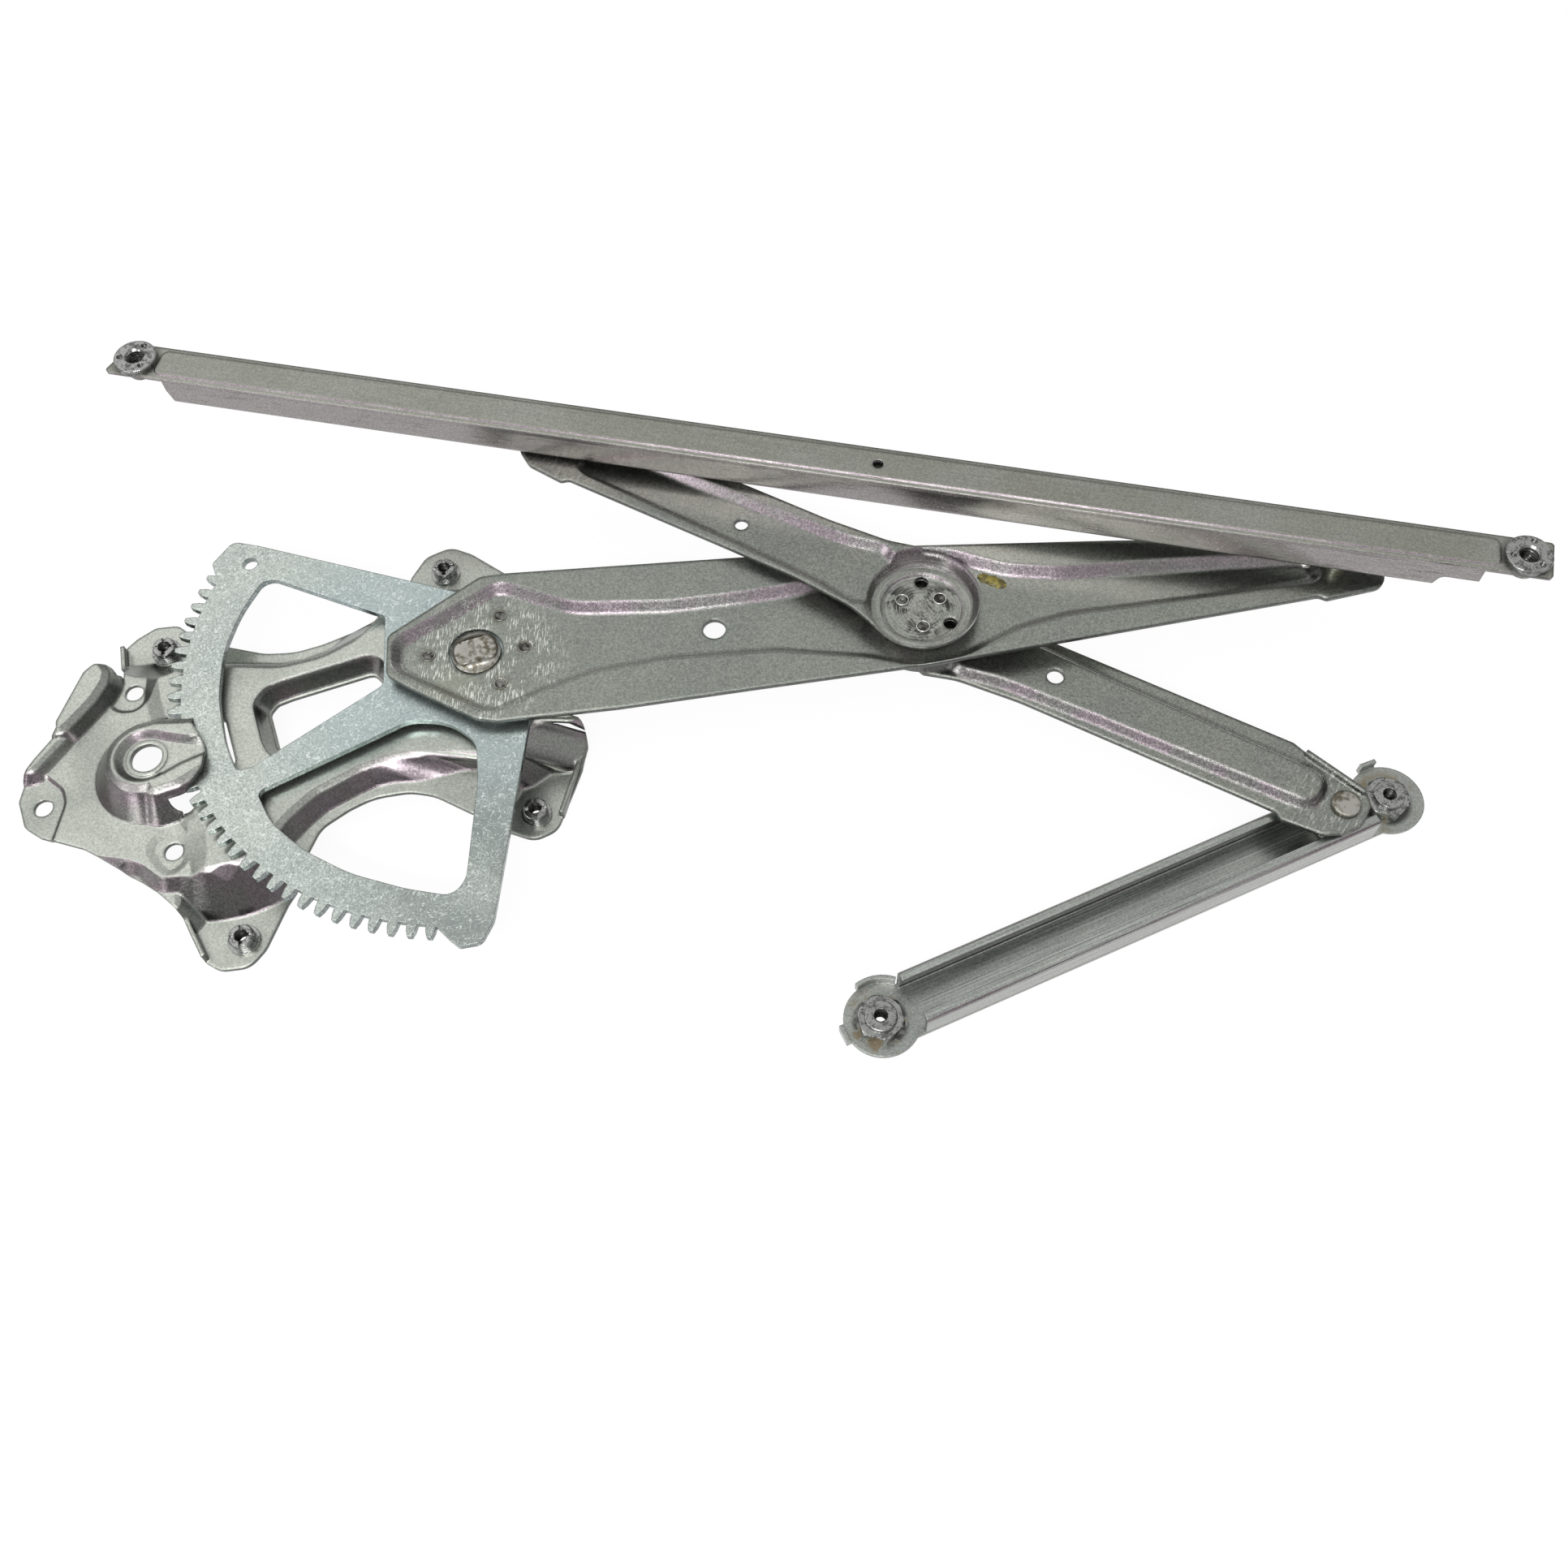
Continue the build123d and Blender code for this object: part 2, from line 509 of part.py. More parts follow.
MOTOR_PADS = [
    (
        [(-153.4, -79.2), (-142.3, -84.5, 6), (-138.9, -89.3, 8), (-136.6, -112), (-170, -112), (-170, -79.2)],
        55,
    ),
    (
        [(-139.1, -44.5), (-134, -46.4, 6), (-129.4, -45.1, 4), (-126.7, -41.7, 5), (-132, -24), (-142, -24)],
        60,
    ),
    ([(-97.3, -101.5, 4), (-97.1, -98.0, 4), (-92.4, -93.6, 4), (-88.1, -97.1, 5), (-84.6, -104.0, 4),
      (-88, -108.6, 3), (-91.5, -106.5, 3)], 72),
]
EAR_CROWN = [
    (-150.6, -62.5), (-147.6, -55, 12), (-144.4, -46, 10), (-143.4, -38.5, 5), (-144.2, -34.6, 4),
    (-147, -32, 3), (-165, -28), (-165, -62.5),
]
EAR_SIDE = [
    (-170, -24), (-148, -24), (-141.7, -28.4), (-138.4, -34.0), (-130, -45), (-130, -90), (-170, -90),
]
FLANGES = [
    ([(-80.6, -121.4), (-75.2, -127.4), (-68.0, -135.0)], 0, 6.5),
    ([(-152.8, -12.0), (-147.8, -22.4)], 0, 6.0),
    ([(46.8, -23), (45.6, -52)], 0, 5.0),
]


def base_ground():
    """The solid ground under the top surface of the base plate, before the sheet is made of it."""
    ground = Pos(-60, -40, BASE_SHEET) * Box(300, 300, 10, align=(Align.CENTER, Align.CENTER, Align.MAX))
    ground += soft_plateau(outline(*ARMS_RIM, r=8), 0, RIM, 0.8)
    ground += soft_plateau(outline(*SKIRT_RIM, r=6), 0, RIM, 0.8)
    ground += soft_plateau(outline(*ARMS_CROWN, r=4), 0, CROWN, 1.2, slope=37)
    ground -= hollow(outline(*MOTOR_FLOOR, r=4), DECK, CROWN + 0.6, slope=70)
    for pad, slope in MOTOR_PADS:
        ground -= hollow(outline(*pad, r=4), PAD, CROWN + 0.6, slope)
    ground += soft_plateau(Circle(19), CROWN - 1, BOSS, 1.2)
    ear = soft_plateau(outline(*EAR_CROWN, r=4), 0, EAR, 1.4, slope=32)
    low = outline((-162, -82), (-155.0, -79.6, 3), (-149.4, -64), (-149, -58), (-170, -58), r=4)
    ear += soft_plateau(low, 0, EAR_FLANGE, 0.8, slope=38)
    ground += ear & prism(outline(*EAR_SIDE, r=0), 0, 40)
    for at in PANEL_NUTS.values():
        ground -= hollow(Pos(at[0], at[1]) * Circle(6.6), BASE_SHEET, CROWN)
    return ground


def pinion_dome(ground):
    """Raises the dome over the motor pinion: a ring crest whose two horns run out to the mouth."""
    towards = Pos(PINION.X, PINION.Y, 0) * Rot(0, 0, PINION_ANGLE - 180)
    crest = Circle(12.6) + outline(
        (0, 12.6), (6, 12.2, 6), (16, 8.6), (30, 4.4), (30, -9.8), (17, -12.4), (9, -14.8, 6), (0, -14.8),
        r=1,
    )
    valley = Circle(8.8) + outline(
        (0, 8), (6.5, 6), (11.9, 2.6), (18, -0.8), (30, -2.6), (30, -5.6), (20.6, -5.4), (11.6, -6.4),
        (5, -8.2), (0, -8), r=3,
    )
    beyond_mouth = outline(
        (-60, -110), (-92, -100), (-90.9, -85.7, 2), (-89.0, -78.3, 6), (-85.9, -69.8, 4),
        (-87.5, -63.8, 2), (-90.3, -58.9, 2), (-98.3, -51.3, 3), (-104, -36, 6), (-60, -30), r=2,
    )
    dome = towards * soft_plateau(crest, CROWN - 4, DOME, 1.4, slope=36)
    dome -= towards * hollow(valley, DOME - 2.5, DOME + 1, slope=48)
    return ground + (dome - prism(beyond_mouth, 0, 40))


def base_plate():
    """The pressed mounting plate of the whole mechanism."""
    whole = outline(
        (-157.6, -84.4), (-155.6, -75.4, 12), (-151.4, -61.9, 0.5), (-152.6, -59.4, 2), (-151.4, -36, 5),
        (-148.8, -31.2, 4), (-143.6, -30.0, 3), (-138.4, -34.0, 1), (-141.8, -26, 2), (-147.2, -22.4, 1),
        (-153.6, -10.9, 3), (-150.7, -5, 4), (-145.2, 1.6, 4), (-136.4, 4.4, 5), (-129, 1.0, 5),
        (-121, -6.4, 8), (-106.2, -7.4, 12), (-90.0, -7.8, 20), (-78.1, -4.9, 30), (-68.3, 0.9, 30),
        (-58.5, 8.5, 20), (-49.2, 17.9, 12), (-48, 34, 12), (-47.6, 46, 8), (-44.8, 57.3, 8),
        (-36, 64.4, 8), (-26, 62.5, 10), (-6, 54, 12), (14, 40, 16), (28, 14, 16), (35.0, -6.7, 3),
        (40.4, -16.4, 3), (46.7, -16.8, 3), (48.6, -22.1, 4), (47.2, -40.2, 20), (45.5, -58.0, 8),
        (37.9, -64.0, 8), (26, -62.3, 6), (14.2, -61.9, 8), (-2.3, -57.2, 20), (-12.1, -57.5, 20),
        (-25.2, -62.5, 30), (-32.7, -69.3, 16), (-40.7, -78.8, 12), (-42.0, -90, 20), (-46.4, -107.6, 20),
        (-48.2, -126.5, 10), (-51.6, -134.5, 8), (-61.9, -138.0, 8), (-68.6, -135.8, 3),
        (-75.9, -128.1, 10), (-80.6, -122.4, 3), (-84.0, -119.9, 8), (-92.3, -115.6, 20),
        (-99.9, -112.8, 20), (-111, -109.8, 20), (-123.5, -106.2, 4), (-142.1, -104.7, 3),
        (-149.6, -102.0, 4), (-156.6, -92.2, 4), r=3,
    )
    window = outline(
        (-68.9, -47.9, 6), (-77.6, -34.2, 3), (-76.2, -29.8, 3), (-71.3, -26.1, 6), (-45.1, -10.1, 4),
        (-42.6, -9.2, 3), (-33.5, -15.4, 4), (-32, -24, 8), (-50, -44, 10), (-64.0, -53.0, 6), r=3,
    )
    ground = pinion_dome(base_ground())
    ground -= hollow(offset(window, 0.8), RIM, BOSS, slope=27)
    plate = ground - Pos(0, 0, -BASE_SHEET) * ground
    plate &= prism(whole, -1, 40)
    plate -= prism(window, -1, 40)
    slot = outline(
        (-97, -52, 3), (-92.6, -44.6, 3), (-89.8, -44.6, 2), (-79.0, -61.3, 3), (-84, -76, 8),
        (-88.2, -84.8, 4), (-93.5, -86.4, 4), (-97.4, -81, 2), (-97, -70, 8),
    )
    plate -= prism(slot, -1, MOUTH_TOP)
    near_mouth = Pos(PINION.X, PINION.Y, 0) * Box(70, 70, 100)
    plate -= disc(TIP_R + 1.8, CROWN + 0.3, MOUTH_TOP) & near_mouth
    plate += disc(7.9, DOME - 4.1, DOME - 2.0, (PINION.X, PINION.Y))
    plate -= disc(PINION_BORE_R, -1, 40, (PINION.X, PINION.Y))
    for wall, bottom, top in FLANGES:
        plate += prism(trace(Polyline(*wall), BASE_SHEET), bottom, top)
    plate -= disc(PIVOT_R, -1, 40)
    for at in PANEL_NUTS.values():
        plate -= disc(4.5, -1, 40, at)
    for at in MOTOR_HOLES:
        plate -= disc(3.55, -1, 40, at)
    return plate


PANEL_NUT_TOP = 6.8


def panel_nut():
    """A threaded collar with four slots in its rim, staked in a lobe of the base plate."""
    nut = disc(4.45, 0, BASE_SHEET) + disc(6.0, BASE_SHEET, BASE_SHEET + 1.3)
    nut += fillet(edges_at(disc(4.7, BASE_SHEET, PANEL_NUT_TOP), PANEL_NUT_TOP), 0.6)
    nut -= disc(M6_BORE_R, -1, 10)
    for angle in (0, 90):
        nut -= Pos(0, 0, PANEL_NUT_TOP) * Rot(0, 0, angle + 20) * Box(14, 1.4, 2.6)
    return nut


def pivot_stud():
    """The main pivot: a shaft riveted in the boss, with a head over the sector gear."""
    boss_bottom = BOSS - BASE_SHEET
    stud = disc(PIVOT_R + 3.5, boss_bottom - 2.2, boss_bottom)
    stud += disc(PIVOT_R, boss_bottom, SECTOR_TOP + 0.1)
    stud += fillet(edges_at(disc(9.9, SECTOR_TOP + 0.1, SECTOR_TOP + 1.6), SECTOR_TOP + 1.6), 0.5)
    boss = disc(6.0, SECTOR_TOP + 1.6, SECTOR_TOP + 3.2) & Pos(0, 0, SECTOR_TOP) * Box(20, 8.6, 10)
    return stud + boss


def pivot_washer():
    """The spacer washer between the boss and the sector gear."""
    return disc(15.0, BOSS, SECTOR_BOTTOM - 0.1) - disc(PIVOT_R + RUN_FIT, 0, 40)


# ---------------------------------------------------------------- assembly
lift_place = arm_from(Vector(0, 0), FOLD)
front_place = arm_from(SCISSOR_PIVOT, 180 - FOLD)
rear_place = arm_from(SCISSOR_PIVOT, -FOLD) * Pos(0, 0, 2 * CROSSING) * Rot(180, 0, 0)
guide_place = Pos(GUIDE_ROLLER.X, GUIDE_ROLLER.Y, 0) * Rot(0, 0, GUIDE_ANGLE)

label(base_plate(), "base_plate")
for place, at in PANEL_NUTS.items():
    label(Pos(at[0], at[1], 0) * panel_nut(), "panel_nut_" + place)
label(pivot_stud(), "pivot_stud")
label(pivot_washer(), "pivot_washer")

label(sector_gear(), "sector_gear")
label(lift_place * lift_arm(), "lift_arm")
for number, at in enumerate(RIVETS, start=1):
    label(lift_place * rivet(at, SECTOR_BOTTOM, LIFT_WEB), "sector_rivet_" + str(number))
label(lift_place * Pos(LIFT_LENGTH, 0, 0) * glass_pin(LIFT_TOP - LIFT_SHEET, LIFT_TOP), "lift_roller_pin")

label(front_place * equalizer_half(REACH, FRONT_TIP, 81.2, 2.7), "equalizer_front")
label(rear_place * rear_half(), "equalizer_rear")
for number, at in enumerate(HUB_RIVETS, start=1):
    weld = rivet((at.X, at.Y), CROSSING - ARM_SHEET, HUB_DISC)
    label(front_place * weld, "hub_rivet_" + str(number))
tip_plate = (ARM_TOP - ARM_SHEET, ARM_TOP)
label(front_place * Pos(REACH, 0, 0) * glass_pin(*tip_plate), "front_roller_pin")
label(rear_place * Pos(LEG, 0, 0) * guide_pin(), "guide_roller_pin")

glass_roller = roller(GLASS_ROLLER_R, GLASS_ROLLER_BOTTOM, GLASS_ROLLER_TOP)
label(Pos(LIFT_ROLLER.X, LIFT_ROLLER.Y, 0) * glass_roller, "lift_roller")
label(Pos(FRONT_ROLLER.X, FRONT_ROLLER.Y, 0) * glass_roller, "front_roller")
label(guide_place * roller(GUIDE_ROLLER_R, GUIDE_ROLLER_BOTTOM, GUIDE_ROLLER_TOP), "guide_roller")
label(guide_place * guide_washer(), "guide_washer")

label(glass_channel(), "glass_channel")
for place, x in zip(("left", "right"), GLASS_NUTS):
    label(Pos(x, GLASS_Y, 0) * glass_nut(), "glass_nut_" + place)
label(guide_place * guide_rail(), "guide_rail")
for place, x in zip(("left", "right"), GUIDE_NUTS):
    label(guide_place * Pos(x, 0, 0) * guide_nut(), "guide_nut_" + place)
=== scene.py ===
# %% [markdown]
# # A cross-arm window regulator
# This file dresses a finished CAD model of a window regulator: the steel mechanism inside a car door
# that lifts the glass.  Most shapes come from CAD and stay as they are.  What is made here is the
# finish of each part, some small hand-worked pieces (staked pins, weld faces, threads, dark discs of
# painted shade in small holes and a dab of grease), the light and the camera.

# %% Load the frame
import json
import math
import random

import bmesh
import bpy
from mathutils import Matrix, Vector
from mathutils.bvhtree import BVHTree


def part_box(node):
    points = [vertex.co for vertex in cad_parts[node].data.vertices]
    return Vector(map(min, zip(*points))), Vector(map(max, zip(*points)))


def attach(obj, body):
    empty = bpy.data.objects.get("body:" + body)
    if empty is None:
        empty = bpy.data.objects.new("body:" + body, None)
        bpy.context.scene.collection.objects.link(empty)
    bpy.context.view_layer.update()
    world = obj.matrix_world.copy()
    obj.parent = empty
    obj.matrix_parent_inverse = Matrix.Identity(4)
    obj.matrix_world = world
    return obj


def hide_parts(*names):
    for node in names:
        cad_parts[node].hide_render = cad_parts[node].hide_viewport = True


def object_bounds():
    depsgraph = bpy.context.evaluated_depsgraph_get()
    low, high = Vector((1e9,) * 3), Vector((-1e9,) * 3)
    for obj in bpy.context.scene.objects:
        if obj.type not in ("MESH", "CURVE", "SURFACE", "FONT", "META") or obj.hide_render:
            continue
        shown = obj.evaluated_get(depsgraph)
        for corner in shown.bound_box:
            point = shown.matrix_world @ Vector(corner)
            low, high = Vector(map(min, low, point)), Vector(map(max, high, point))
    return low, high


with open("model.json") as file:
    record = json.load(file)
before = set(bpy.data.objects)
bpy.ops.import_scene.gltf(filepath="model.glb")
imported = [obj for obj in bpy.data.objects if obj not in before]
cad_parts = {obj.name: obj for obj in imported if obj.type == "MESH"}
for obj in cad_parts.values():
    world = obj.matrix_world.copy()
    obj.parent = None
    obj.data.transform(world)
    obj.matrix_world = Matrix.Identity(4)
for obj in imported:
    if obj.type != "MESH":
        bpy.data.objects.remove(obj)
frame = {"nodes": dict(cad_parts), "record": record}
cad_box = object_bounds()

nodes = frame["nodes"]

# %% [markdown]
# ## Where things are
# Every piece below is placed from the CAD parts themselves, so nothing floats.  A part's middle is the
# middle of its box.  Blender works in metres, while the profiles of small pieces are easier to read in
# millimetres, so heights are asked for in millimetres.

# %% Places taken from the CAD
MM = 0.001


def middle(*names):
    """The middle of one or more nodes, seen from above."""
    corners = [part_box(name) for name in names]
    xs = [(low.x + high.x) / 2 for low, high in corners]
    ys = [(low.y + high.y) / 2 for low, high in corners]
    return Vector((sum(xs) / len(xs), sum(ys) / len(ys), 0))


def heights_of(name):
    """The lowest and the highest point of a node, in millimetres."""
    low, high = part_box(name)
    return low.z / MM, high.z / MM


PIVOT = middle("pivot_stud")
SCISSOR = middle("hub_rivet_1", "hub_rivet_2", "hub_rivet_3")
LIFT_TIP = middle("lift_roller")
FRONT_TIP = middle("front_roller")
GUIDE_TIP = middle("guide_roller")
ARM_TURN = math.atan2(LIFT_TIP.y - PIVOT.y, LIFT_TIP.x - PIVOT.x)
RAIL_LINE = middle("guide_nut_right") - middle("guide_nut_left")
RAIL_TURN = math.atan2(RAIL_LINE.y, RAIL_LINE.x)
print("the lift arm lies at", round(math.degrees(ARM_TURN), 1), "degrees")
print("the guide rail lies at", round(math.degrees(RAIL_TURN), 1), "degrees")

# %% [markdown]
# ## Writing shader maths as Python
# A node graph is hard to read as a list of links.  This class wraps one socket, so a mask can be
# written like `1 - mask * 0.5`, and each operator adds the Math node that it needs.

# %% Sockets with operators
class Sock:
    """One output socket of a node tree, with the arithmetic of numbers."""

    def __init__(self, board, socket):
        self.board = board
        self.socket = socket

    def math(self, operation, a, b=0.0, clamp=False):
        settings = {"operation": operation, "use_clamp": clamp}
        return self.board.node("ShaderNodeMath", settings, {0: a, 1: b})

    def __add__(self, other):
        return self.math("ADD", self, other)

    def __radd__(self, other):
        return self.math("ADD", other, self)

    def __sub__(self, other):
        return self.math("SUBTRACT", self, other)

    def __rsub__(self, other):
        return self.math("SUBTRACT", other, self)

    def __mul__(self, other):
        return self.math("MULTIPLY", self, other)

    def __rmul__(self, other):
        return self.math("MULTIPLY", other, self)

    def size(self):
        return self.math("ABSOLUTE", self)

    def clamped(self):
        return self.math("ADD", self, 0.0, clamp=True)

    def at_least(self, other):
        return self.math("MAXIMUM", self, other)


print("sockets can be added, subtracted and multiplied")

# %% [markdown]
# ## A board of nodes, and a finish
# `node` is the one call that adds a node.  It takes the node's type, its settings and the values or
# links of its sockets.  Settings come first, because a Mix or Noise node changes its sockets with them.
# The other calls are short names for the textures and masks that the finishes use again and again.
# Masks by distance look at the part from above, so a mark runs down a slope without a seam.

# %% The node board
RING_REACH = 0.01


class Board:
    """A node tree with one short call for each kind of node."""

    def __init__(self, tree):
        self.tree = tree

    def node(self, kind, settings=None, inputs=None, output=0):
        made = self.tree.nodes.new(kind)
        for key, value in (settings or {}).items():
            setattr(made, key, value)
        for key, value in (inputs or {}).items():
            self.plug(made.inputs[key], value)
        return Sock(self, made.outputs[output])

    def plug(self, socket, value):
        if isinstance(value, Sock):
            self.tree.links.new(value.socket, socket)
        elif socket.type == "RGBA" and len(value) == 3:
            socket.default_value = (*value, 1.0)
        else:
            socket.default_value = value

    def vector_math(self, operation, a, b=(0, 0, 0), output=0):
        return self.node("ShaderNodeVectorMath", {"operation": operation}, {0: a, 1: b}, output)

    def part(self, vector, axis):
        """One of the three numbers of a vector."""
        return self.node("ShaderNodeSeparateXYZ", {}, {0: vector}, axis)

    def place(self, scale=(1, 1, 1), turn=0.0):
        """Object coordinates in metres, turned about the upright axis and then scaled."""
        raw = self.node("ShaderNodeTexCoord", output="Object")
        sockets = {"Vector": raw, "Angle": -turn}
        turned = self.node("ShaderNodeVectorRotate", {"rotation_type": "Z_AXIS"}, sockets)
        return self.vector_math("MULTIPLY", turned, scale)

    def noise(self, scale, detail=2.0, rough=0.5, distortion=0.0, where=None):
        sockets = {"Scale": scale, "Detail": detail, "Roughness": rough, "Distortion": distortion}
        sockets["Vector"] = where or self.place()
        return self.node("ShaderNodeTexNoise", {"noise_dimensions": "3D"}, sockets)

    def step(self, value, low, high):
        """A mask that goes smoothly from 0 at low to 1 at high."""
        sockets = {"Value": value, "From Min": min(low, high), "From Max": max(low, high)}
        rising = self.node("ShaderNodeMapRange", {"interpolation_type": "SMOOTHSTEP"}, sockets)
        return rising if high > low else 1 - rising

    def mix(self, factor, a, b, blend="MIX"):
        """Colour a below and colour b above; the colour sockets of a Mix node are 6 and 7."""
        settings = {"data_type": "RGBA", "blend_type": blend}
        return self.node("ShaderNodeMix", settings, {0: factor, 6: a, 7: b}, 2)

    def near(self, point, inner, outer):
        """A mask that is 1 within inner of a point, seen from above, and 0 beyond outer."""
        away = self.vector_math("DISTANCE", self.place(scale=(1, 1, 0)), point, "Value")
        return self.step(away, outer, inner)

    def near_any(self, points, inner, outer):
        total = self.near(points[0], inner, outer)
        for point in points[1:]:
            total = total.at_least(self.near(point, inner, outer))
        return total

    def strokes(self, length, width, turn, low, high):
        """Short marks of about that length and width, in metres, lying along a direction."""
        along = self.place(scale=(1 / length, 1 / width, 1 / width), turn=turn)
        return self.step(self.noise(1.0, 2.0, 0.6, where=along), low, high)

    def rings(self, point, width, length, low, high):
        """Fine circular marks round a point.  They have that length at RING_REACH from it."""
        arm = self.vector_math("SUBTRACT", self.place(scale=(1, 1, 0)), point)
        away = self.vector_math("LENGTH", arm, output="Value")
        sides = {0: self.part(arm, "Y"), 1: self.part(arm, "X")}
        way_round = self.node("ShaderNodeMath", {"operation": "ARCTAN2"}, sides)
        sockets = {0: away * (1 / width), 1: way_round * (RING_REACH / length)}
        polar = self.node("ShaderNodeCombineXYZ", {}, sockets)
        return self.step(self.noise(1.0, 2.0, 0.6, where=polar), low, high)


print("node board ready")

# %% [markdown]
# A finish is a material whose Principled shader is fed by such nodes.  What is the same all over the
# surface, such as how metallic it is, is set on the shader's own socket.

# %% The finish
class Finish(Board):
    """A new material: a Principled shader whose constants are given by name."""

    def __init__(self, name, **constants):
        self.data = bpy.data.materials.new(name)
        self.data.use_nodes = True
        super().__init__(self.data.node_tree)
        self.shader = self.tree.nodes["Principled BSDF"]
        for socket, value in constants.items():
            self.shader.inputs[socket.replace("_", " ")].default_value = value

    def feed(self, socket, value):
        self.tree.links.new(value.socket, self.shader.inputs[socket])

    def rounded(self, radius, samples):
        """A normal that bends round the edges, so that a sharp CAD edge catches light."""
        return self.node("ShaderNodeBevel", {"samples": samples}, {"Radius": radius})

    def bump(self, height, strength, distance, normal=None):
        sockets = {"Height": height, "Strength": strength, "Distance": distance}
        if normal is not None:
            sockets["Normal"] = normal
        return self.node("ShaderNodeBump", {}, sockets)


print("finishes can be made")

# %% [markdown]
# ## Zinc-plated pressed steel
# Nearly everything here is mild steel, pressed to shape and plated with bright zinc.  It isn't plain
# grey.  Flat faces have one tone, and slopes have another, a painted shade that is darker than the
# flats (on the glass channel a painted highlight, lighter).  Slopes at the front carry a patchy purple
# tint of the plating, painted there only, so it also serves as painted sheen.  Slopes at the back of
# the arms get a pale painted reflection of the bright floor.  Upright faces have a tone of their own:
# darker on the sheared edges, and on the channel lighter, as a painted highlight on its sides.  All of
# these are told
# apart by the direction of the surface: the upright part of its normal says how much it leans, and the
# part along y says whether it leans to the front or to the back.

# %% Masks by the lean of the surface
FLAT_LEAN, DRAWN_LEAN = 0.99, 0.84
SLANTED_LEAN, SHEARED_LEAN = 0.30, 0.10
# Purple plating tint, painted only on front slopes, where it also serves as painted sheen.
PURPLE_TINT_AND_SHEEN = (0.255, 0.210, 0.236)


def zinc_body(metal, flat, slope_shading, upright_tone, far_slope_reflection, cloud, haze):
    """The colour of flat faces, with painted shade and sheen on slopes, and the tone of upright faces.
    """
    normal = metal.node("ShaderNodeNewGeometry", output="Normal")
    lean = metal.part(normal, "Z").size()
    front = metal.part(normal, "Y")
    sloping = metal.step(lean, FLAT_LEAN, DRAWN_LEAN)
    # Front-facing slopes get a patchy purple plating tint, painted only there, so it is also painted
    # sheen.
    patches = metal.step(haze + (cloud - 0.5) * 0.6, 0.38, 0.60) * 0.65 + 0.15
    # Slopes are painted shade, darker than the flats; on the channel they are lighter, a painted
    # highlight.
    slope = metal.mix(metal.step(front, -0.10, -0.55) * patches, slope_shading, PURPLE_TINT_AND_SHEEN)
    # Slopes facing the back get a pale painted reflection of the bright floor.
    if far_slope_reflection:
        slope = metal.mix(metal.step(front, 0.12, 0.45), slope, far_slope_reflection)
    body = metal.mix(sloping, flat, slope)
    # Upright faces take their own tone: darker on sheared edges, and on the channel lighter, a painted
    # highlight on its sides.
    return metal.mix(metal.step(lean, SLANTED_LEAN, SHEARED_LEAN), body, upright_tone), sloping


print("faces count as flat above a lean of", FLAT_LEAN)

# %% [markdown]
# Over the body colour lie fine crystals, rare pinholes and hairline scratches.  The crystals multiply
# the colour, so they show alike on pale and on dark places.  Pinholes are the middles of a cell
# pattern, kept only where a slow noise is high.  Scratches are noise stretched along a direction.

# %% Crystals, pinholes and scratches
CRYSTAL_DIMS, CRYSTAL_BRIGHTENS = 0.24, 0.16
CELLS_PER_METRE = 75
PINHOLE = (0.04, 0.04, 0.04)
CROSSING = 0.9


def speckled(metal, body, crystals, crystal):
    dim = (1 - CRYSTAL_DIMS * crystal,) * 3
    bright = (1 + CRYSTAL_BRIGHTENS * crystal,) * 3
    shade = metal.mix(metal.step(crystals, 0.36, 0.66), dim, bright)
    return metal.mix(1.0, body, shade, "MULTIPLY")


def pinholed(metal, body):
    sockets = {"Vector": metal.place(), "Scale": CELLS_PER_METRE}
    cells = metal.node("ShaderNodeTexVoronoi", {"feature": "F1"}, sockets)
    rare = metal.step(metal.noise(38, 1.0), 0.60, 0.64)
    return metal.mix(metal.step(cells, 0.026, 0.012) * rare * 0.8, body, PINHOLE)


def hairlines(metal, grain, cloud, haze):
    """Two families of scratches: along the grain, and crossing it at an angle."""
    along = metal.strokes(0.016, 0.00022, grain, 0.69, 0.76) * metal.step(cloud, 0.50, 0.60)
    crossing = metal.strokes(0.011, 0.00020, grain + CROSSING, 0.72, 0.79)
    return along.at_least(crossing * metal.step(haze, 0.52, 0.62))


print("scratches cross at", round(math.degrees(CROSSING)), "degrees")

# %% [markdown]
# One function puts these together, and each part says how much of each it has.  `soft` is the radius
# to which its edges look rounded.  `marks`, when given, is a function that paints a part's own wear.

# %% The zinc finish
CRYSTALS_PER_METRE, CLOUDS_PER_METRE, HAZE_PER_METRE = 1250, 24, 55
SCRATCH_BRIGHTENS = 1.7
CRYSTAL_RELIEF, SCRATCH_RELIEF = 0.5, -0.5


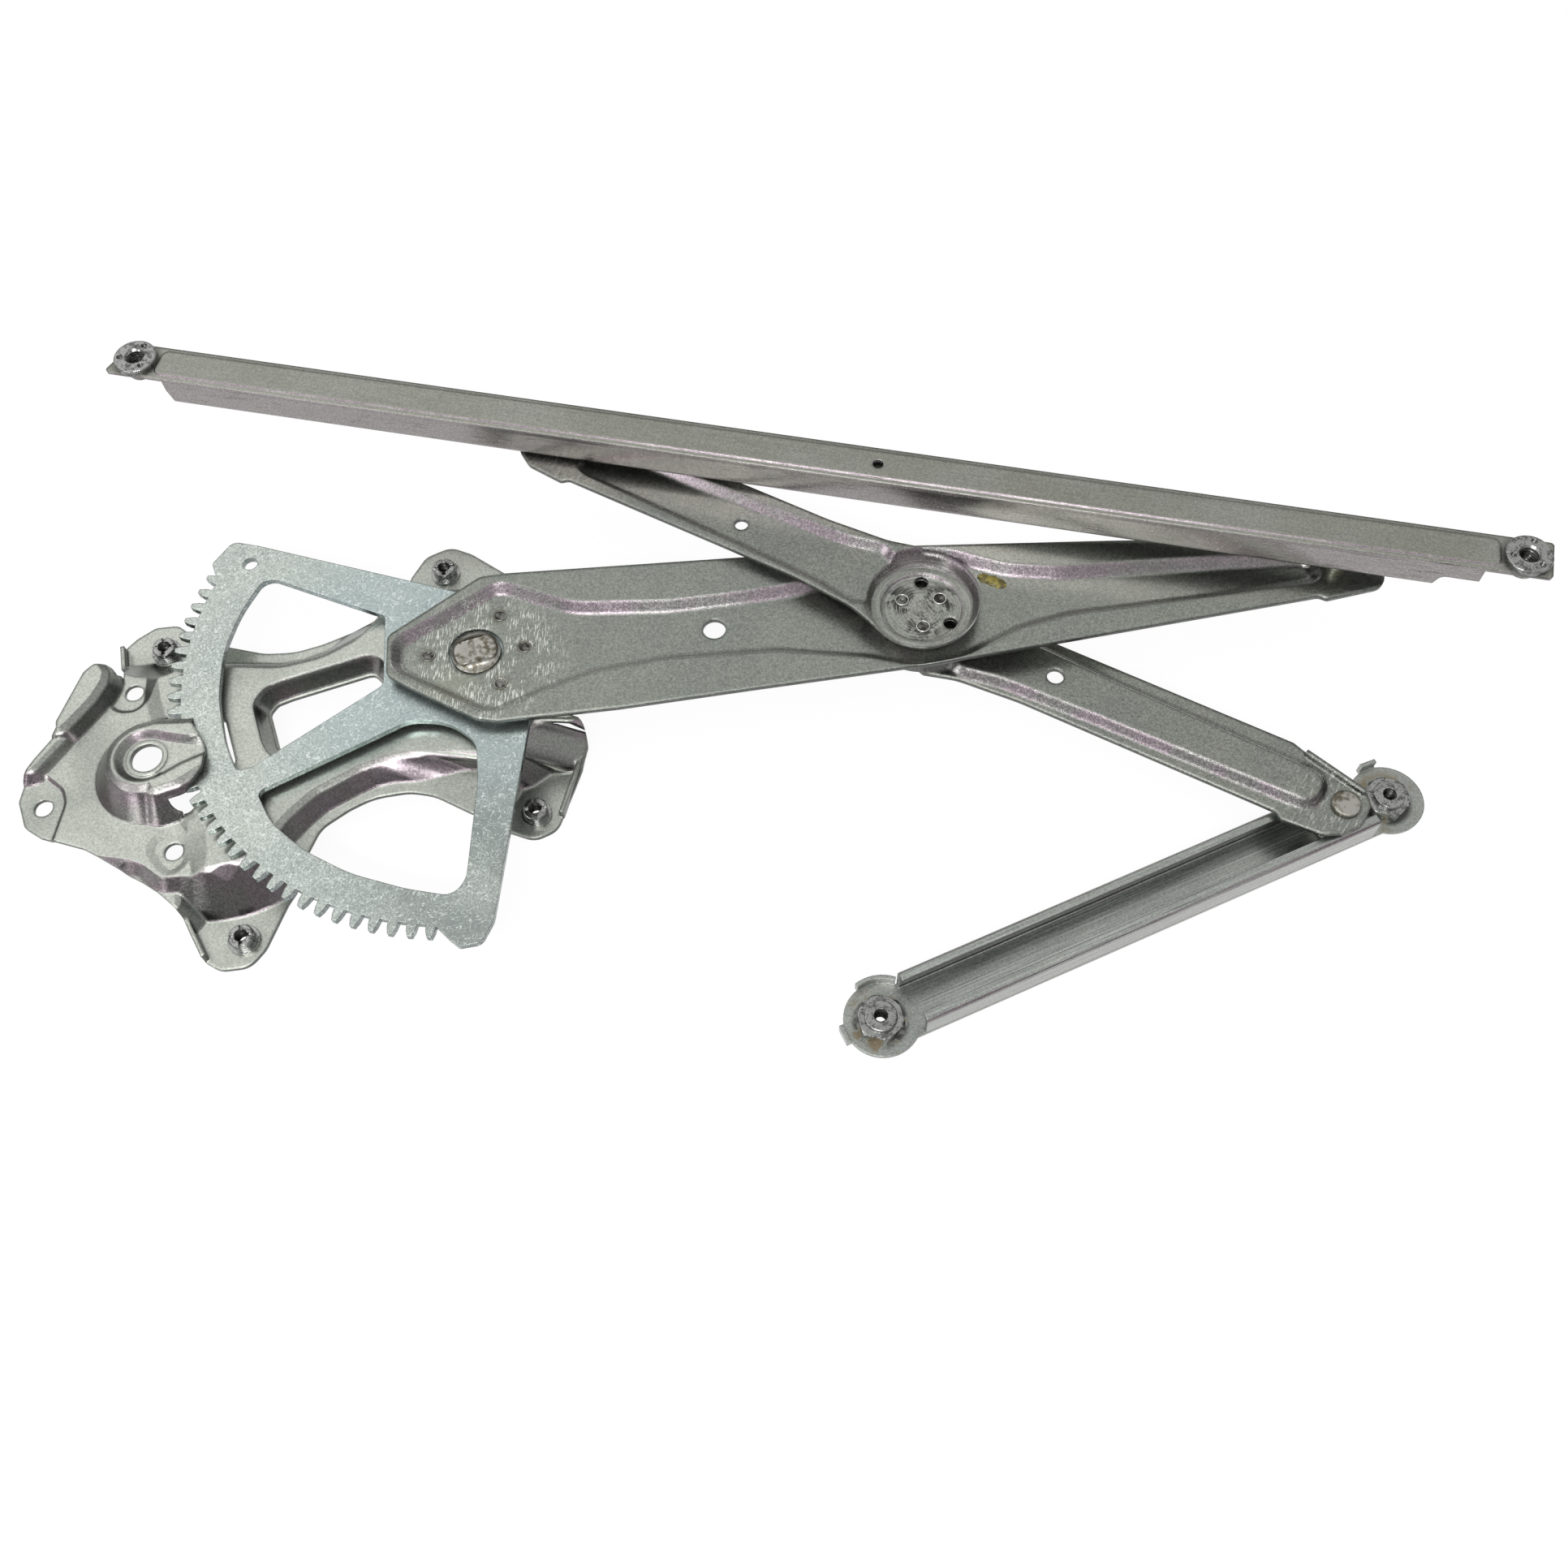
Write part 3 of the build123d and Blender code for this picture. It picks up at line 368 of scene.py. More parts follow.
def zinc(
    name, flat, slope_shading, upright_tone, tint, crystal=1.0, clouds=0.5, rough=0.35, grain=0.0, hairs=0.3,
    soft=0.0007, far_slope_reflection=None, marks=None,
):
    """Bright zinc plate, with clouds of a second tint on its flat faces."""
    metal = Finish(name, Metallic=1.0)
    crystals = metal.noise(CRYSTALS_PER_METRE, 3.0, 0.65, distortion=0.9)
    cloud = metal.noise(CLOUDS_PER_METRE, 3.0, 0.55)
    haze = metal.noise(HAZE_PER_METRE, 2.0, 0.5)
    clouded = metal.mix(metal.step(cloud, 0.40, 0.68) * clouds, flat, tint)
    body, sloping = zinc_body(metal, clouded, slope_shading, upright_tone, far_slope_reflection, cloud, haze)
    body = pinholed(metal, speckled(metal, body, crystals, crystal))
    hair = hairlines(metal, grain, cloud, haze)
    body = metal.mix(hair * hairs, body, tuple(min(1.0, part * SCRATCH_BRIGHTENS) for part in flat))
    height = crystals * CRYSTAL_RELIEF * crystal + hair * SCRATCH_RELIEF
    rough_now = rough - sloping * 0.12 + (crystals - 0.5) * 0.20 * crystal + (cloud - 0.5) * 0.10
    if marks:
        body, rough_now, height = marks(metal, body, rough_now, height)
    metal.feed("Base Color", body)
    metal.feed("Roughness", rough_now)
    edges = metal.rounded(soft, samples=6)
    metal.feed("Normal", metal.bump(height, strength=0.30, distance=0.00005, normal=edges))
    print("zinc finish", name)
    return metal.data


# %% [markdown]
# ## Each part's own wear
# A wear function gets the colour, the roughness and the height so far and gives them back with its
# marks.  The marks are masks by distance from the very pins and nuts that caused them, broken up by
# noise.  The lift arm was rubbed while its pins were staked, so short pale strokes surround the pivot.

# %% Wear of the lift arm
PALE_SCUFF = (0.50, 0.51, 0.47)
STAKING_WHITE = (0.66, 0.67, 0.61)
OLD_YELLOW = (0.33, 0.33, 0.23)
DULL_BROWN = (0.12, 0.11, 0.08)


def lift_wear(metal, body, rough, height):
    """Pale staking strokes round the pivot, dull pin rims and polished places at the tip."""
    staked = metal.near(PIVOT + Vector((0.006, -0.003, 0)), 0.022, 0.035)
    rubbed = metal.strokes(0.0046, 0.00052, math.radians(101), 0.545, 0.585) * staked
    patchy = metal.step(metal.noise(130), 0.42, 0.54)
    yellowed = metal.near(PIVOT + Vector((-0.004, -0.017, 0)), 0.003, 0.013)
    body = metal.mix(yellowed * 0.25, body, OLD_YELLOW)
    body = metal.mix(rubbed * patchy * 0.85, body, STAKING_WHITE)
    pins = [middle("sector_rivet_%d" % number) for number in (1, 2, 3, 4)]
    dull = metal.near_any(pins, 0.0032, 0.0052) * metal.step(metal.noise(900, 3.0), 0.42, 0.60)
    body = metal.mix(dull * 0.55, body, DULL_BROWN)
    tip = metal.near(LIFT_TIP, 0.010, 0.030) * metal.strokes(0.006, 0.0007, ARM_TURN, 0.56, 0.64)
    body = metal.mix(tip * 0.5, body, PALE_SCUFF)
    return body, rough - rubbed * 0.10, height + rubbed * 0.8


print("staking strokes ready")

# %% [markdown]
# The two halves of the equalizer were welded through the hub, which left soot beside each weld.  The
# hub's rim rubs in a circle as the scissor works, so its marks are rings round the joint.

# %% Wear of the equalizer
SOOT = (0.035, 0.033, 0.030)


def equalizer_wear(metal, body, rough, height):
    """Soot beside the three hub welds, a brushed rim, and scuffs at the tips."""
    welds = [middle("hub_rivet_%d" % number) for number in (1, 2, 3)]
    fume = metal.near_any(welds, 0.0048, 0.0086) * metal.step(metal.noise(210, 3.0, 0.6), 0.47, 0.52)
    body = metal.mix(fume * 0.92, body, SOOT)
    slanting = metal.strokes(0.006, 0.0006, math.radians(-52), 0.56, 0.64)
    body = metal.mix(metal.near(SCISSOR, 0.004, 0.015) * slanting * 0.5, body, PALE_SCUFF)
    brushed = metal.near(SCISSOR, 0.0195, 0.0230) * metal.rings(SCISSOR, 0.00050, 0.012, 0.44, 0.62)
    body = metal.mix(brushed * 0.45, body, PALE_SCUFF)
    tips = metal.near_any([FRONT_TIP, GUIDE_TIP], 0.008, 0.034)
    rubbed = metal.strokes(0.005, 0.0009, math.radians(70), 0.55, 0.63) * tips
    body = metal.mix(rubbed * 0.6, body, PALE_SCUFF)
    return body, rough + fume * 0.25, height + rubbed * 0.5 + brushed * 0.6


print("hub soot and brushing ready")

# %% [markdown]
# The rail was drawn through a die, which left long bright lines and dark scores.  Its two nuts were
# welded on, so the end plates have brown heat tints and burnt patches in place of the lines.

# %% Wear of the guide rail
DIE_BRIGHT = (0.58, 0.61, 0.58)
SCORE_DARK = (0.07, 0.08, 0.08)
HEAT_BROWN = (0.17, 0.115, 0.045)


def rail_wear(metal, body, rough, height):
    """Drawn lines along the rail, and the heat tints of the two welded nuts."""
    nuts = [middle("guide_nut_left"), middle("guide_nut_right")]
    inside = 1 - metal.near_any(nuts, 0.013, 0.019)
    lines = metal.strokes(0.060, 0.00045, RAIL_TURN, 0.50, 0.66)
    body = metal.mix(lines * inside * 0.60, body, DIE_BRIGHT)
    score = metal.strokes(0.045, 0.00040, RAIL_TURN + 0.004, 0.60, 0.68)
    body = metal.mix(score * inside * 0.60, body, SCORE_DARK)
    patch = metal.noise(150, 2.0)
    heat = metal.near_any(nuts, 0.0092, 0.0150)
    body = metal.mix(heat * metal.step(patch, 0.50, 0.62) * 0.7, body, HEAT_BROWN)
    burnt = metal.near_any(nuts, 0.0088, 0.0112)
    body = metal.mix(burnt * metal.step(patch, 0.56, 0.46) * 0.85, body, SOOT)
    return body, rough + heat * 0.08, height + lines * 0.7


print("die lines and heat tints ready")

# %% [markdown]
# The glass channel has fainter lines of the same kind.  Its sides were rubbed dark in handling, and a
# dark ring of painted shadow lies round each nut.

# %% Wear of the glass channel
FAINT_LINE = (0.14, 0.145, 0.14)
HANDLING_DARK = (0.05, 0.045, 0.045)
NUT_SHADOW = (0.06, 0.06, 0.055)


def channel_wear(metal, body, rough, height):
    """Long faint drawing lines and a few dark rubs, most of them on the sides."""
    lines = metal.strokes(0.080, 0.0006, 0.0, 0.48, 0.64)
    body = metal.mix(lines * 0.16, body, FAINT_LINE)
    normal = metal.node("ShaderNodeNewGeometry", output="Normal")
    on_side = metal.step(metal.part(normal, "Z"), 0.90, 0.60)
    rub = metal.strokes(0.012, 0.0005, 0.0, 0.60, 0.68) * metal.step(metal.noise(30), 0.44, 0.56)
    body = metal.mix(rub * (on_side * 0.55 + 0.12), body, HANDLING_DARK)
    nuts = [middle("glass_nut_left"), middle("glass_nut_right")]
    # A dark ring of painted shadow round each nut.
    body = metal.mix(metal.near_any(nuts, 0.0090, 0.0120) * 0.5, body, NUT_SHADOW)
    return body, rough, height + lines * 0.5


print("handling rubs ready")

# %% [markdown]
# The sector gear is thicker, flat and paler.  Its plating grew in curls: the places where a twisted
# noise crosses its middle value make thin winding lines, pale ones and fewer dark ones.

# %% Wear of the sector gear
SECTOR_LOW, SECTOR_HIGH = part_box("sector_gear")
SPOKE = Vector((SECTOR_HIGH.x - 0.010, SECTOR_LOW.y + 0.030, 0))
PIVOT_BLUE = (0.31, 0.385, 0.39)
SPOKE_GREY = (0.22, 0.245, 0.235)
CURL_PALE = (0.86, 0.92, 0.90)
CURL_DARK = (0.12, 0.14, 0.135)
NICK_DARK = (0.07, 0.07, 0.06)


def sector_wear(metal, body, rough, height):
    """A bluer middle, a darker right spoke, curls in the plating and a few dark nicks."""
    body = metal.mix(metal.near(PIVOT, 0.055, 0.104) * 0.60, body, PIVOT_BLUE)
    mottle = metal.step(metal.noise(60, 3.0), 0.35, 0.60) * 0.4 + 0.45
    body = metal.mix(metal.near(SPOKE, 0.020, 0.062) * mottle, body, SPOKE_GREY)
    curl = metal.noise(300, 1.0, 0.4, distortion=1.8)
    worm = metal.step((curl - 0.5).size(), 0.034, 0.008)
    body = metal.mix(worm * 0.42, body, CURL_PALE)
    second = metal.noise(260, 1.0, 0.4, distortion=2.0, where=metal.place(turn=1.1))
    body = metal.mix(metal.step((second - 0.5).size(), 0.022, 0.004) * 0.30, body, CURL_DARK)
    nick = metal.strokes(0.009, 0.00028, 0.2, 0.735, 0.77) * metal.step(metal.noise(28), 0.52, 0.58)
    body = metal.mix(nick * 0.7, body, NICK_DARK)
    return body, rough - worm * 0.05, height + worm * 0.4


print("plating curls ready")

# %% [markdown]
# The large parts came from different batches of plating, so each kind has colours of its own.  The
# arms are the darkest and most crystalline, and the sector and the base are the palest.

# %% The parts' finishes
# The arms' slope colour is painted shade.
ARM_SLOPE_SHADE = (0.205, 0.208, 0.198)
ARM_CUT = (0.135, 0.140, 0.132)
# A pale painted reflection of the floor on the arms' back slopes.
ARM_FAR_SLOPE_REFLECTION = (0.78, 0.79, 0.75)
base_zinc = zinc(
    "base_zinc", flat=(0.455, 0.475, 0.43), slope_shading=(0.215, 0.225, 0.205), upright_tone=(0.13, 0.135, 0.125),
    tint=(0.34, 0.36, 0.325), clouds=0.9, grain=0.5, soft=0.0018,
)
lift_zinc = zinc(
    "lift_zinc", flat=(0.262, 0.277, 0.247), slope_shading=ARM_SLOPE_SHADE, upright_tone=ARM_CUT, tint=(0.215, 0.235, 0.215),
    crystal=1.3, grain=ARM_TURN, soft=0.0022, far_slope_reflection=ARM_FAR_SLOPE_REFLECTION, marks=lift_wear,
)
equalizer_zinc = zinc(
    "equalizer_zinc", flat=(0.252, 0.26, 0.233), slope_shading=ARM_SLOPE_SHADE, upright_tone=ARM_CUT, tint=(0.20, 0.212, 0.20),
    crystal=1.4, grain=-ARM_TURN, soft=0.0022, far_slope_reflection=ARM_FAR_SLOPE_REFLECTION, marks=equalizer_wear,
)
sector_zinc = zinc(
    "sector_zinc", flat=(0.47, 0.505, 0.465), slope_shading=(0.26, 0.29, 0.29), upright_tone=(0.22, 0.25, 0.25),
    tint=(0.38, 0.42, 0.40), crystal=1.3, clouds=0.8, rough=0.37, hairs=0.5, marks=sector_wear,
)
# On the channel the slope and upright colours are lighter than its face: painted highlight on its fold
# and sides.
channel_zinc = zinc(
    "channel_zinc", flat=(0.270, 0.273, 0.238), slope_shading=(0.34, 0.31, 0.32), upright_tone=(0.34, 0.315, 0.315),
    tint=(0.31, 0.315, 0.285), clouds=0.8, soft=0.0016, marks=channel_wear,
)
rail_zinc = zinc(
    "rail_zinc", flat=(0.315, 0.33, 0.305), slope_shading=(0.30, 0.295, 0.29), upright_tone=(0.33, 0.335, 0.32),
    tint=(0.26, 0.275, 0.265), grain=RAIL_TURN, marks=rail_wear,
)

# %% [markdown]
# ## Bare and darkened steel
# The nuts are harder steel with a glossy dark passivation, and the pins are worn bare steel.  Weld
# faces and staked ends are scorched.  The thread linings and the discs in small holes are near black:
# painted shade, where no light gets down.  One function gives all of them: two tones that a fine noise
# mixes.  `share` is the noise level where they meet, so a lower one shows more of the pale tone.

# %% The steel finishes
BLUR = 0.08


def steel(name, pale, dark, rough, grit=900, share=0.5, relief=0.35):
    metal = Finish(name, Metallic=1.0)
    grain = metal.noise(grit, 4.0, 0.65)
    patch = metal.noise(grit / 4, 2.0, 0.5)
    cover = metal.step(grain * 0.5 + patch * 0.5, share - BLUR, share + BLUR)
    metal.feed("Base Color", metal.mix(cover, dark, pale))
    metal.feed("Roughness", rough + (1 - cover) * 0.18)
    edges = metal.rounded(0.0004, samples=4)
    metal.feed("Normal", metal.bump(grain, strength=relief, distance=0.00008, normal=edges))
    print("steel finish", name)
    return metal.data


nut_steel = steel(
    "nut_steel", (0.30, 0.305, 0.295), (0.10, 0.10, 0.095), 0.19, grit=1500, share=0.46, relief=0.10
)
# Near-black thread linings: painted shade in the nuts' bores.
thread_shade = steel("thread_shade", (0.075, 0.075, 0.07), (0.018, 0.018, 0.017), 0.28)
pin_steel = steel("pin_steel", (0.34, 0.34, 0.31), (0.16, 0.15, 0.12), 0.34, grit=600)
worn_steel = steel("worn_steel", (0.36, 0.35, 0.32), (0.13, 0.115, 0.085), 0.30, grit=520, share=0.47)
scorched = steel("scorched_steel", (0.20, 0.20, 0.185), (0.045, 0.042, 0.038), 0.42, grit=700)
bright_rim = steel("bright_rim", (0.55, 0.56, 0.53), (0.34, 0.35, 0.33), 0.26, grit=1200, share=0.42)
# Near-black discs put in small holes: painted shade.
hole_shade_finish = steel("hole_shade_finish", (0.030, 0.028, 0.024), (0.006, 0.006, 0.005), 0.55, grit=600)

# %% [markdown]
# ## Roller plastic and grease
# The rollers are natural nylon, creamy with a faint mottle.  A dab of old yellow grease is caught
# beside the hub, where it was pressed out of the joint.

# %% The roller and grease finishes
NYLON_TONES = (0.62, 0.60, 0.54), (0.74, 0.72, 0.66)
GREASE_TONES = (0.085, 0.072, 0.018), (0.24, 0.20, 0.035)

nylon = Finish("roller_nylon", IOR=1.5)
mottle = nylon.noise(180)
nylon.feed("Base Color", nylon.mix(nylon.step(mottle, 0.3, 0.7), *NYLON_TONES))
nylon.feed("Roughness", 0.38 + mottle * 0.15)
nylon.feed("Normal", nylon.bump(mottle, strength=0.2, distance=0.0001))

grease = Finish("grease", IOR=1.46)
smear = grease.noise(520, 3.0)
grease.feed("Base Color", grease.mix(grease.step(smear, 0.38, 0.62), *GREASE_TONES))
grease.feed("Roughness", 0.28 + smear * 0.2)
grease.feed("Normal", grease.bump(smear, strength=0.4, distance=0.0003))
print("plastic and grease ready")

# %% [markdown]
# ## Dressing the CAD parts
# The large pressed parts have a finish each.  Everything else takes the finish of its material slot.

# %% Put each finish on its node
FINISH_OF_NODE = {
    "base_plate": base_zinc,
    "sector_gear": sector_zinc,
    "lift_arm": lift_zinc,
    "equalizer_front": equalizer_zinc,
    "equalizer_rear": equalizer_zinc,
    "glass_channel": channel_zinc,
    "guide_rail": rail_zinc,
}
FINISH_OF_SLOT = {"nut_steel": nut_steel, "pin_steel": pin_steel, "roller_plastic": nylon.data}
for subpart in frame["record"]["subparts"]:
    finish = FINISH_OF_NODE.get(subpart["node"]) or FINISH_OF_SLOT[subpart["material_slot"]]
    for material_slot in nodes[subpart["node"]].material_slots:
        material_slot.material = finish

# %% [markdown]
# ## Turned and hand-worked pieces
# Pins, weld faces and threads are round, so they are made like on a lathe: a profile of radius and
# height, spun about an upright axis.  A little seeded jitter in the heights makes a face look hammered
# and not machined.  The seed is fixed, so each run gives the same dents.

# %% The lathe
SEGMENTS = 40
chance = random.Random(7)


def place_piece(name, mesh, finishes, body):
    """Turns a bmesh into an object that rides on a body."""
    bmesh.ops.recalc_face_normals(mesh, faces=mesh.faces)
    data = bpy.data.meshes.new(name)
    mesh.to_mesh(data)
    mesh.free()
    thing = bpy.data.objects.new(name, data)
    bpy.context.scene.collection.objects.link(thing)
    for finish in finishes:
        data.materials.append(finish)
    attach(thing, body)
    return thing


def filed(x, y, half, angle):
    """Moves a point that lies beyond one of two flats back onto it."""
    across = -x * math.sin(angle) + y * math.cos(angle)
    excess = max(-half, min(half, across)) - across
    return x - excess * math.sin(angle), y + excess * math.cos(angle)


def spun(mesh, row, at, jitter, flats):
    """The ring of points of one row of a profile, or one point where the row is on the axis."""
    radius, height = row[:2]
    if radius == 0:
        return [mesh.verts.new((at.x, at.y, height * MM))]
    ring = []
    for k in range(SEGMENTS):
        turn = 2 * math.pi * k / SEGMENTS
        x, y = radius * math.cos(turn), radius * math.sin(turn)
        if flats and len(row) > 3:
            x, y = filed(x, y, *flats)
        lift = chance.uniform(-jitter, jitter)
        ring.append(mesh.verts.new((at.x + x * MM, at.y + y * MM, (height + lift) * MM)))
    return ring


def lathe(name, profile, finishes, body, at, jitter=0.0, flats=None):
    """Spins (radius, height, finish number) rows, in millimetres, into a closed piece on a body.

    flats, when given, is (half width in mm, angle).  Rows with a fourth item are filed to them.
    """
    mesh = bmesh.new()
    rings = [spun(mesh, row, at, jitter, flats) for row in profile]
    for row, lower, upper in zip(profile, rings, rings[1:]):
        for k in range(SEGMENTS):
            corners = [lower[k % len(lower)], lower[(k + 1) % len(lower)]]
            corners += [upper[(k + 1) % len(upper)], upper[k % len(upper)]]
            face = mesh.faces.new(list(dict.fromkeys(corners)))
            face.material_index = row[2]
            face.smooth = True
    return place_piece(name, mesh, finishes, body)


print("lathe set to", SEGMENTS, "segments")

# %% [markdown]
# ## Staked pins of the sector gear
# Four pins hold the lift arm on the sector.  Their ends were hammered flush: a low raised lip, and a
# sunken scorched face inside it.  Each takes the place of its plain CAD node.

# %% The staked pins
STAKED_HEIGHT = 0.7
DENT = 0.05

for number in (1, 2, 3, 4):
    name = "sector_rivet_%d" % number
    foot, top = heights_of(name)
    web = top - STAKED_HEIGHT
    profile = [
        (0, foot, 0), (2.0, foot, 0), (2.0, web, 1), (2.75, web, 1),
        (2.7, web + 0.2, 1), (2.4, web + 0.32, 1), (2.1, web + 0.1, 0), (2.0, web - 0.25, 0),
        (1.6, web - 0.45, 0), (1.1, web - 0.3, 0), (0.6, web - 0.12, 0), (0, web - 0.2, 0),
    ]
    finishes = [scorched, pin_steel]
    pin = lathe("staked_pin_%d" % number, profile, finishes, "lift", middle(name), DENT)
    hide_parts(name)
print("four staked pins")

# %% [markdown]
# ## Weld faces in the hub
# The two halves of the equalizer are joined through the hub by three pressed weld pins.  Each shows a
# bright ring, a dark ringed face and a small centre dimple.

# %% The weld faces
WELD_HEIGHT = 0.7

for number in (1, 2, 3):
    name = "hub_rivet_%d" % number
    foot, top = heights_of(name)
    disc = top - WELD_HEIGHT
    profile = [
        (0, foot, 0), (2.0, foot, 0), (2.0, disc, 1), (2.8, disc, 1), (2.78, disc + 0.4, 1),
        (2.6, disc + 0.6, 1), (2.3, disc + 0.5, 0), (2.15, disc + 0.1, 0), (1.9, disc - 0.05, 0),
        (1.5, disc + 0.08, 0), (1.3, disc - 0.05, 0), (0.9, disc + 0.05, 0), (0.55, disc, 0),
        (0.4, disc - 0.5, 0), (0, disc - 0.6, 0),
    ]
    finishes = [scorched, bright_rim]
    face = lathe("weld_face_%d" % number, profile, finishes, "equalizer", middle(name))
    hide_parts(name)
print("three weld faces")

# %% [markdown]
# ## The main pivot
# The pivot stud is riveted in the base's boss.  Its head has two filed flats and a hammered, stained
# top.  Below the flats a round collar closes the sector's bore.

# %% The pivot stud
HEAD_HEIGHT = 1.6
HEAD_FLATS = (5.3, math.radians(30))

foot, crown = heights_of("pivot_stud")
collar = crown - HEAD_HEIGHT
profile = [
    (0, foot, 0), (11.1, foot, 0), (11.5, foot + 0.4, 0), (11.5, foot + 2.2, 0),
    (8.0, foot + 2.2, 0), (8.0, collar - 1.5, 0), (9.6, collar - 1.5, 0), (9.9, collar - 1.2, 0),
    (9.9, collar - 0.3, 0), (9.6, collar, 0), (8.5, collar, 1), (8.5, crown - 0.35, 1, 1),
    (8.2, crown - 0.08, 1, 1), (7.2, crown - 0.06, 1, 1), (6.0, crown - 0.10, 1, 1),
    (4.8, crown - 0.16, 1, 1), (3.4, crown - 0.30, 1, 1), (2.0, crown - 0.42, 1, 1),
    (0, crown - 0.35, 1),
]
stud = lathe(
    "pivot_stud_worked", profile, [pin_steel, worn_steel], "base", PIVOT,
    jitter=0.045, flats=HEAD_FLATS,
)
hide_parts("pivot_stud")
print("pivot stud reaches", round(crown, 2), "mm")

# %% [markdown]
# ## The guide pin's head
# At the tip of the rear arm the roller's pin is riveted over: a broad low head, rough on top.

# %% The guide pin
foot, crown = heights_of("guide_roller_pin")
profile = [
    (0, foot, 0), (4.0, foot, 0), (4.0, crown - 1.8, 0), (5.6, crown - 1.8, 0),
    (5.6, crown - 0.7, 0), (5.2, crown - 0.2, 1), (4.2, crown - 0.06, 1), (3.1, crown - 0.10, 1),
    (2.0, crown - 0.06, 1), (1.0, crown - 0.12, 1), (0, crown - 0.06, 1),
]
finishes = [pin_steel, worn_steel]
guide_pin = lathe("guide_pin_worked", profile, finishes, "equalizer", GUIDE_TIP, DENT)
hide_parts("guide_roller_pin")
print("guide pin is", round(crown - foot, 2), "mm long")

# %% [markdown]
# ## Screw threads
# A thread is one groove that climbs as it turns.  The sleeve below has an even grid of points, and each
# point's radius depends on how far it is up the screw, so the crest follows a helix.  A plain outer
# wall, just inside the nut's bore, closes the sleeve.

# %% The threads
STEPS_PER_TURN = 8
THREAD_DEPTH = 0.55
CREST_GAP, WALL_GAP = 0.02, 0.01
M6_BORE, M6_PITCH = 2.55, 1.0
M8_BORE, M8_PITCH = 3.35, 1.25
LEAD_IN = 0.3


def reached(mesh, at, reaches, height):
    """A ring of points about a screw's axis, one for each reach; all in millimetres."""
    ring = []
    for k, reach in enumerate(reaches):
        angle = 2 * math.pi * k / SEGMENTS
        x, y = reach * MM * math.cos(angle), reach * MM * math.sin(angle)
        ring.append(mesh.verts.new((at.x + x, at.y + y, height * MM)))
    return ring


def thread(nut, radius, pitch, low, high, body):
    """A threaded lining of a nut's bore, in millimetres, with its crests turned inwards."""
    at = middle(nut)
    depth = THREAD_DEPTH * pitch
    count = int((high - low) / pitch * STEPS_PER_TURN)
    mesh = bmesh.new()
    rings = []
    for row in range(count + 1):
        height = low + (high - low) * row / count
        climbs = [(height / pitch - k / SEGMENTS) % 1.0 for k in range(SEGMENTS)]
        reaches = [radius - CREST_GAP - depth * (1 - abs(2 * climb - 1)) for climb in climbs]
        rings.append(reached(mesh, at, reaches, height))
    wall = [radius - WALL_GAP] * SEGMENTS
    bottom, top = [reached(mesh, at, wall, height) for height in (low, high)]
    rings = [bottom, *rings, top]
    for lower, upper in zip(rings, rings[1:] + rings[:1]):
        for k in range(SEGMENTS):
            after = (k + 1) % SEGMENTS
            mesh.faces.new((lower[k], lower[after], upper[after], upper[k]))
    return place_piece("thread_" + nut, mesh, [thread_shade], body)


for place in ("upper", "left", "lower", "right"):
    nut = "panel_nut_" + place
    thread(nut, M6_BORE, M6_PITCH, LEAD_IN, heights_of(nut)[1] - 0.5, "base")
for place in ("left", "right"):
    nut = "guide_nut_" + place
    thread(nut, M6_BORE, M6_PITCH, LEAD_IN, heights_of(nut)[1] - 0.4, "guide_track")
    nut = "glass_nut_" + place
    low, high = heights_of(nut)
    thread(nut, M8_BORE, M8_PITCH, low + LEAD_IN, high - 1.0, "glass_rail")
print("eight threads")

# %% [markdown]
# ## Painted shade in three small holes
# The hub has two small locating holes, and the glass channel's face has one.  No light gets down them,
# so each is closed with a thin dark disc set well below the rim, which is painted shade.  The hub's
# discs are placed along and across the front arm from the scissor pivot, because they turn with it.

# %% The shade discs in the holes
HUB_HOLES = [(5.6, -11.3), (-13.0, 1.0)]
HUB_SHADE_RADIUS = 2.66
CHANNEL_HOLE = Vector((PIVOT.x + 0.1418, middle("glass_nut_left").y, 0))
CHANNEL_SHADE_RADIUS = 2.05
CHANNEL_SHADE_LEVEL = 50.7

forearm = (FRONT_TIP - SCISSOR).normalized()
across_arm = Vector((-forearm.y, forearm.x, 0))
hub_shade_level = heights_of("hub_rivet_1")[0] + 0.2
for number, (along, across) in enumerate(HUB_HOLES, start=1):
    spot = SCISSOR + forearm * along * MM + across_arm * across * MM
    profile = [
        (0, hub_shade_level, 0), (HUB_SHADE_RADIUS, hub_shade_level, 0),
        (HUB_SHADE_RADIUS, hub_shade_level + 1.0, 0), (0, hub_shade_level + 0.8, 0),
    ]
    lathe("hole_floor_%d" % number, profile, [hole_shade_finish], "equalizer", spot)
profile = [
    (0, CHANNEL_SHADE_LEVEL, 0), (CHANNEL_SHADE_RADIUS, CHANNEL_SHADE_LEVEL, 0),
    (CHANNEL_SHADE_RADIUS, CHANNEL_SHADE_LEVEL + 0.6, 0), (0, CHANNEL_SHADE_LEVEL + 0.5, 0),
]
lathe("hole_floor_3", profile, [hole_shade_finish], "glass_rail", CHANNEL_HOLE)
print("three shade discs")

# %% [markdown]
# ## A dab of grease
# Grease was pressed out between the hub and the lift arm and stayed on the slope beside them.  The dab
# is draped: each of its points is dropped on the arm along a straight line down, and then raised a
# little towards the middle.  Two waves along its outline keep it from being a neat oval.

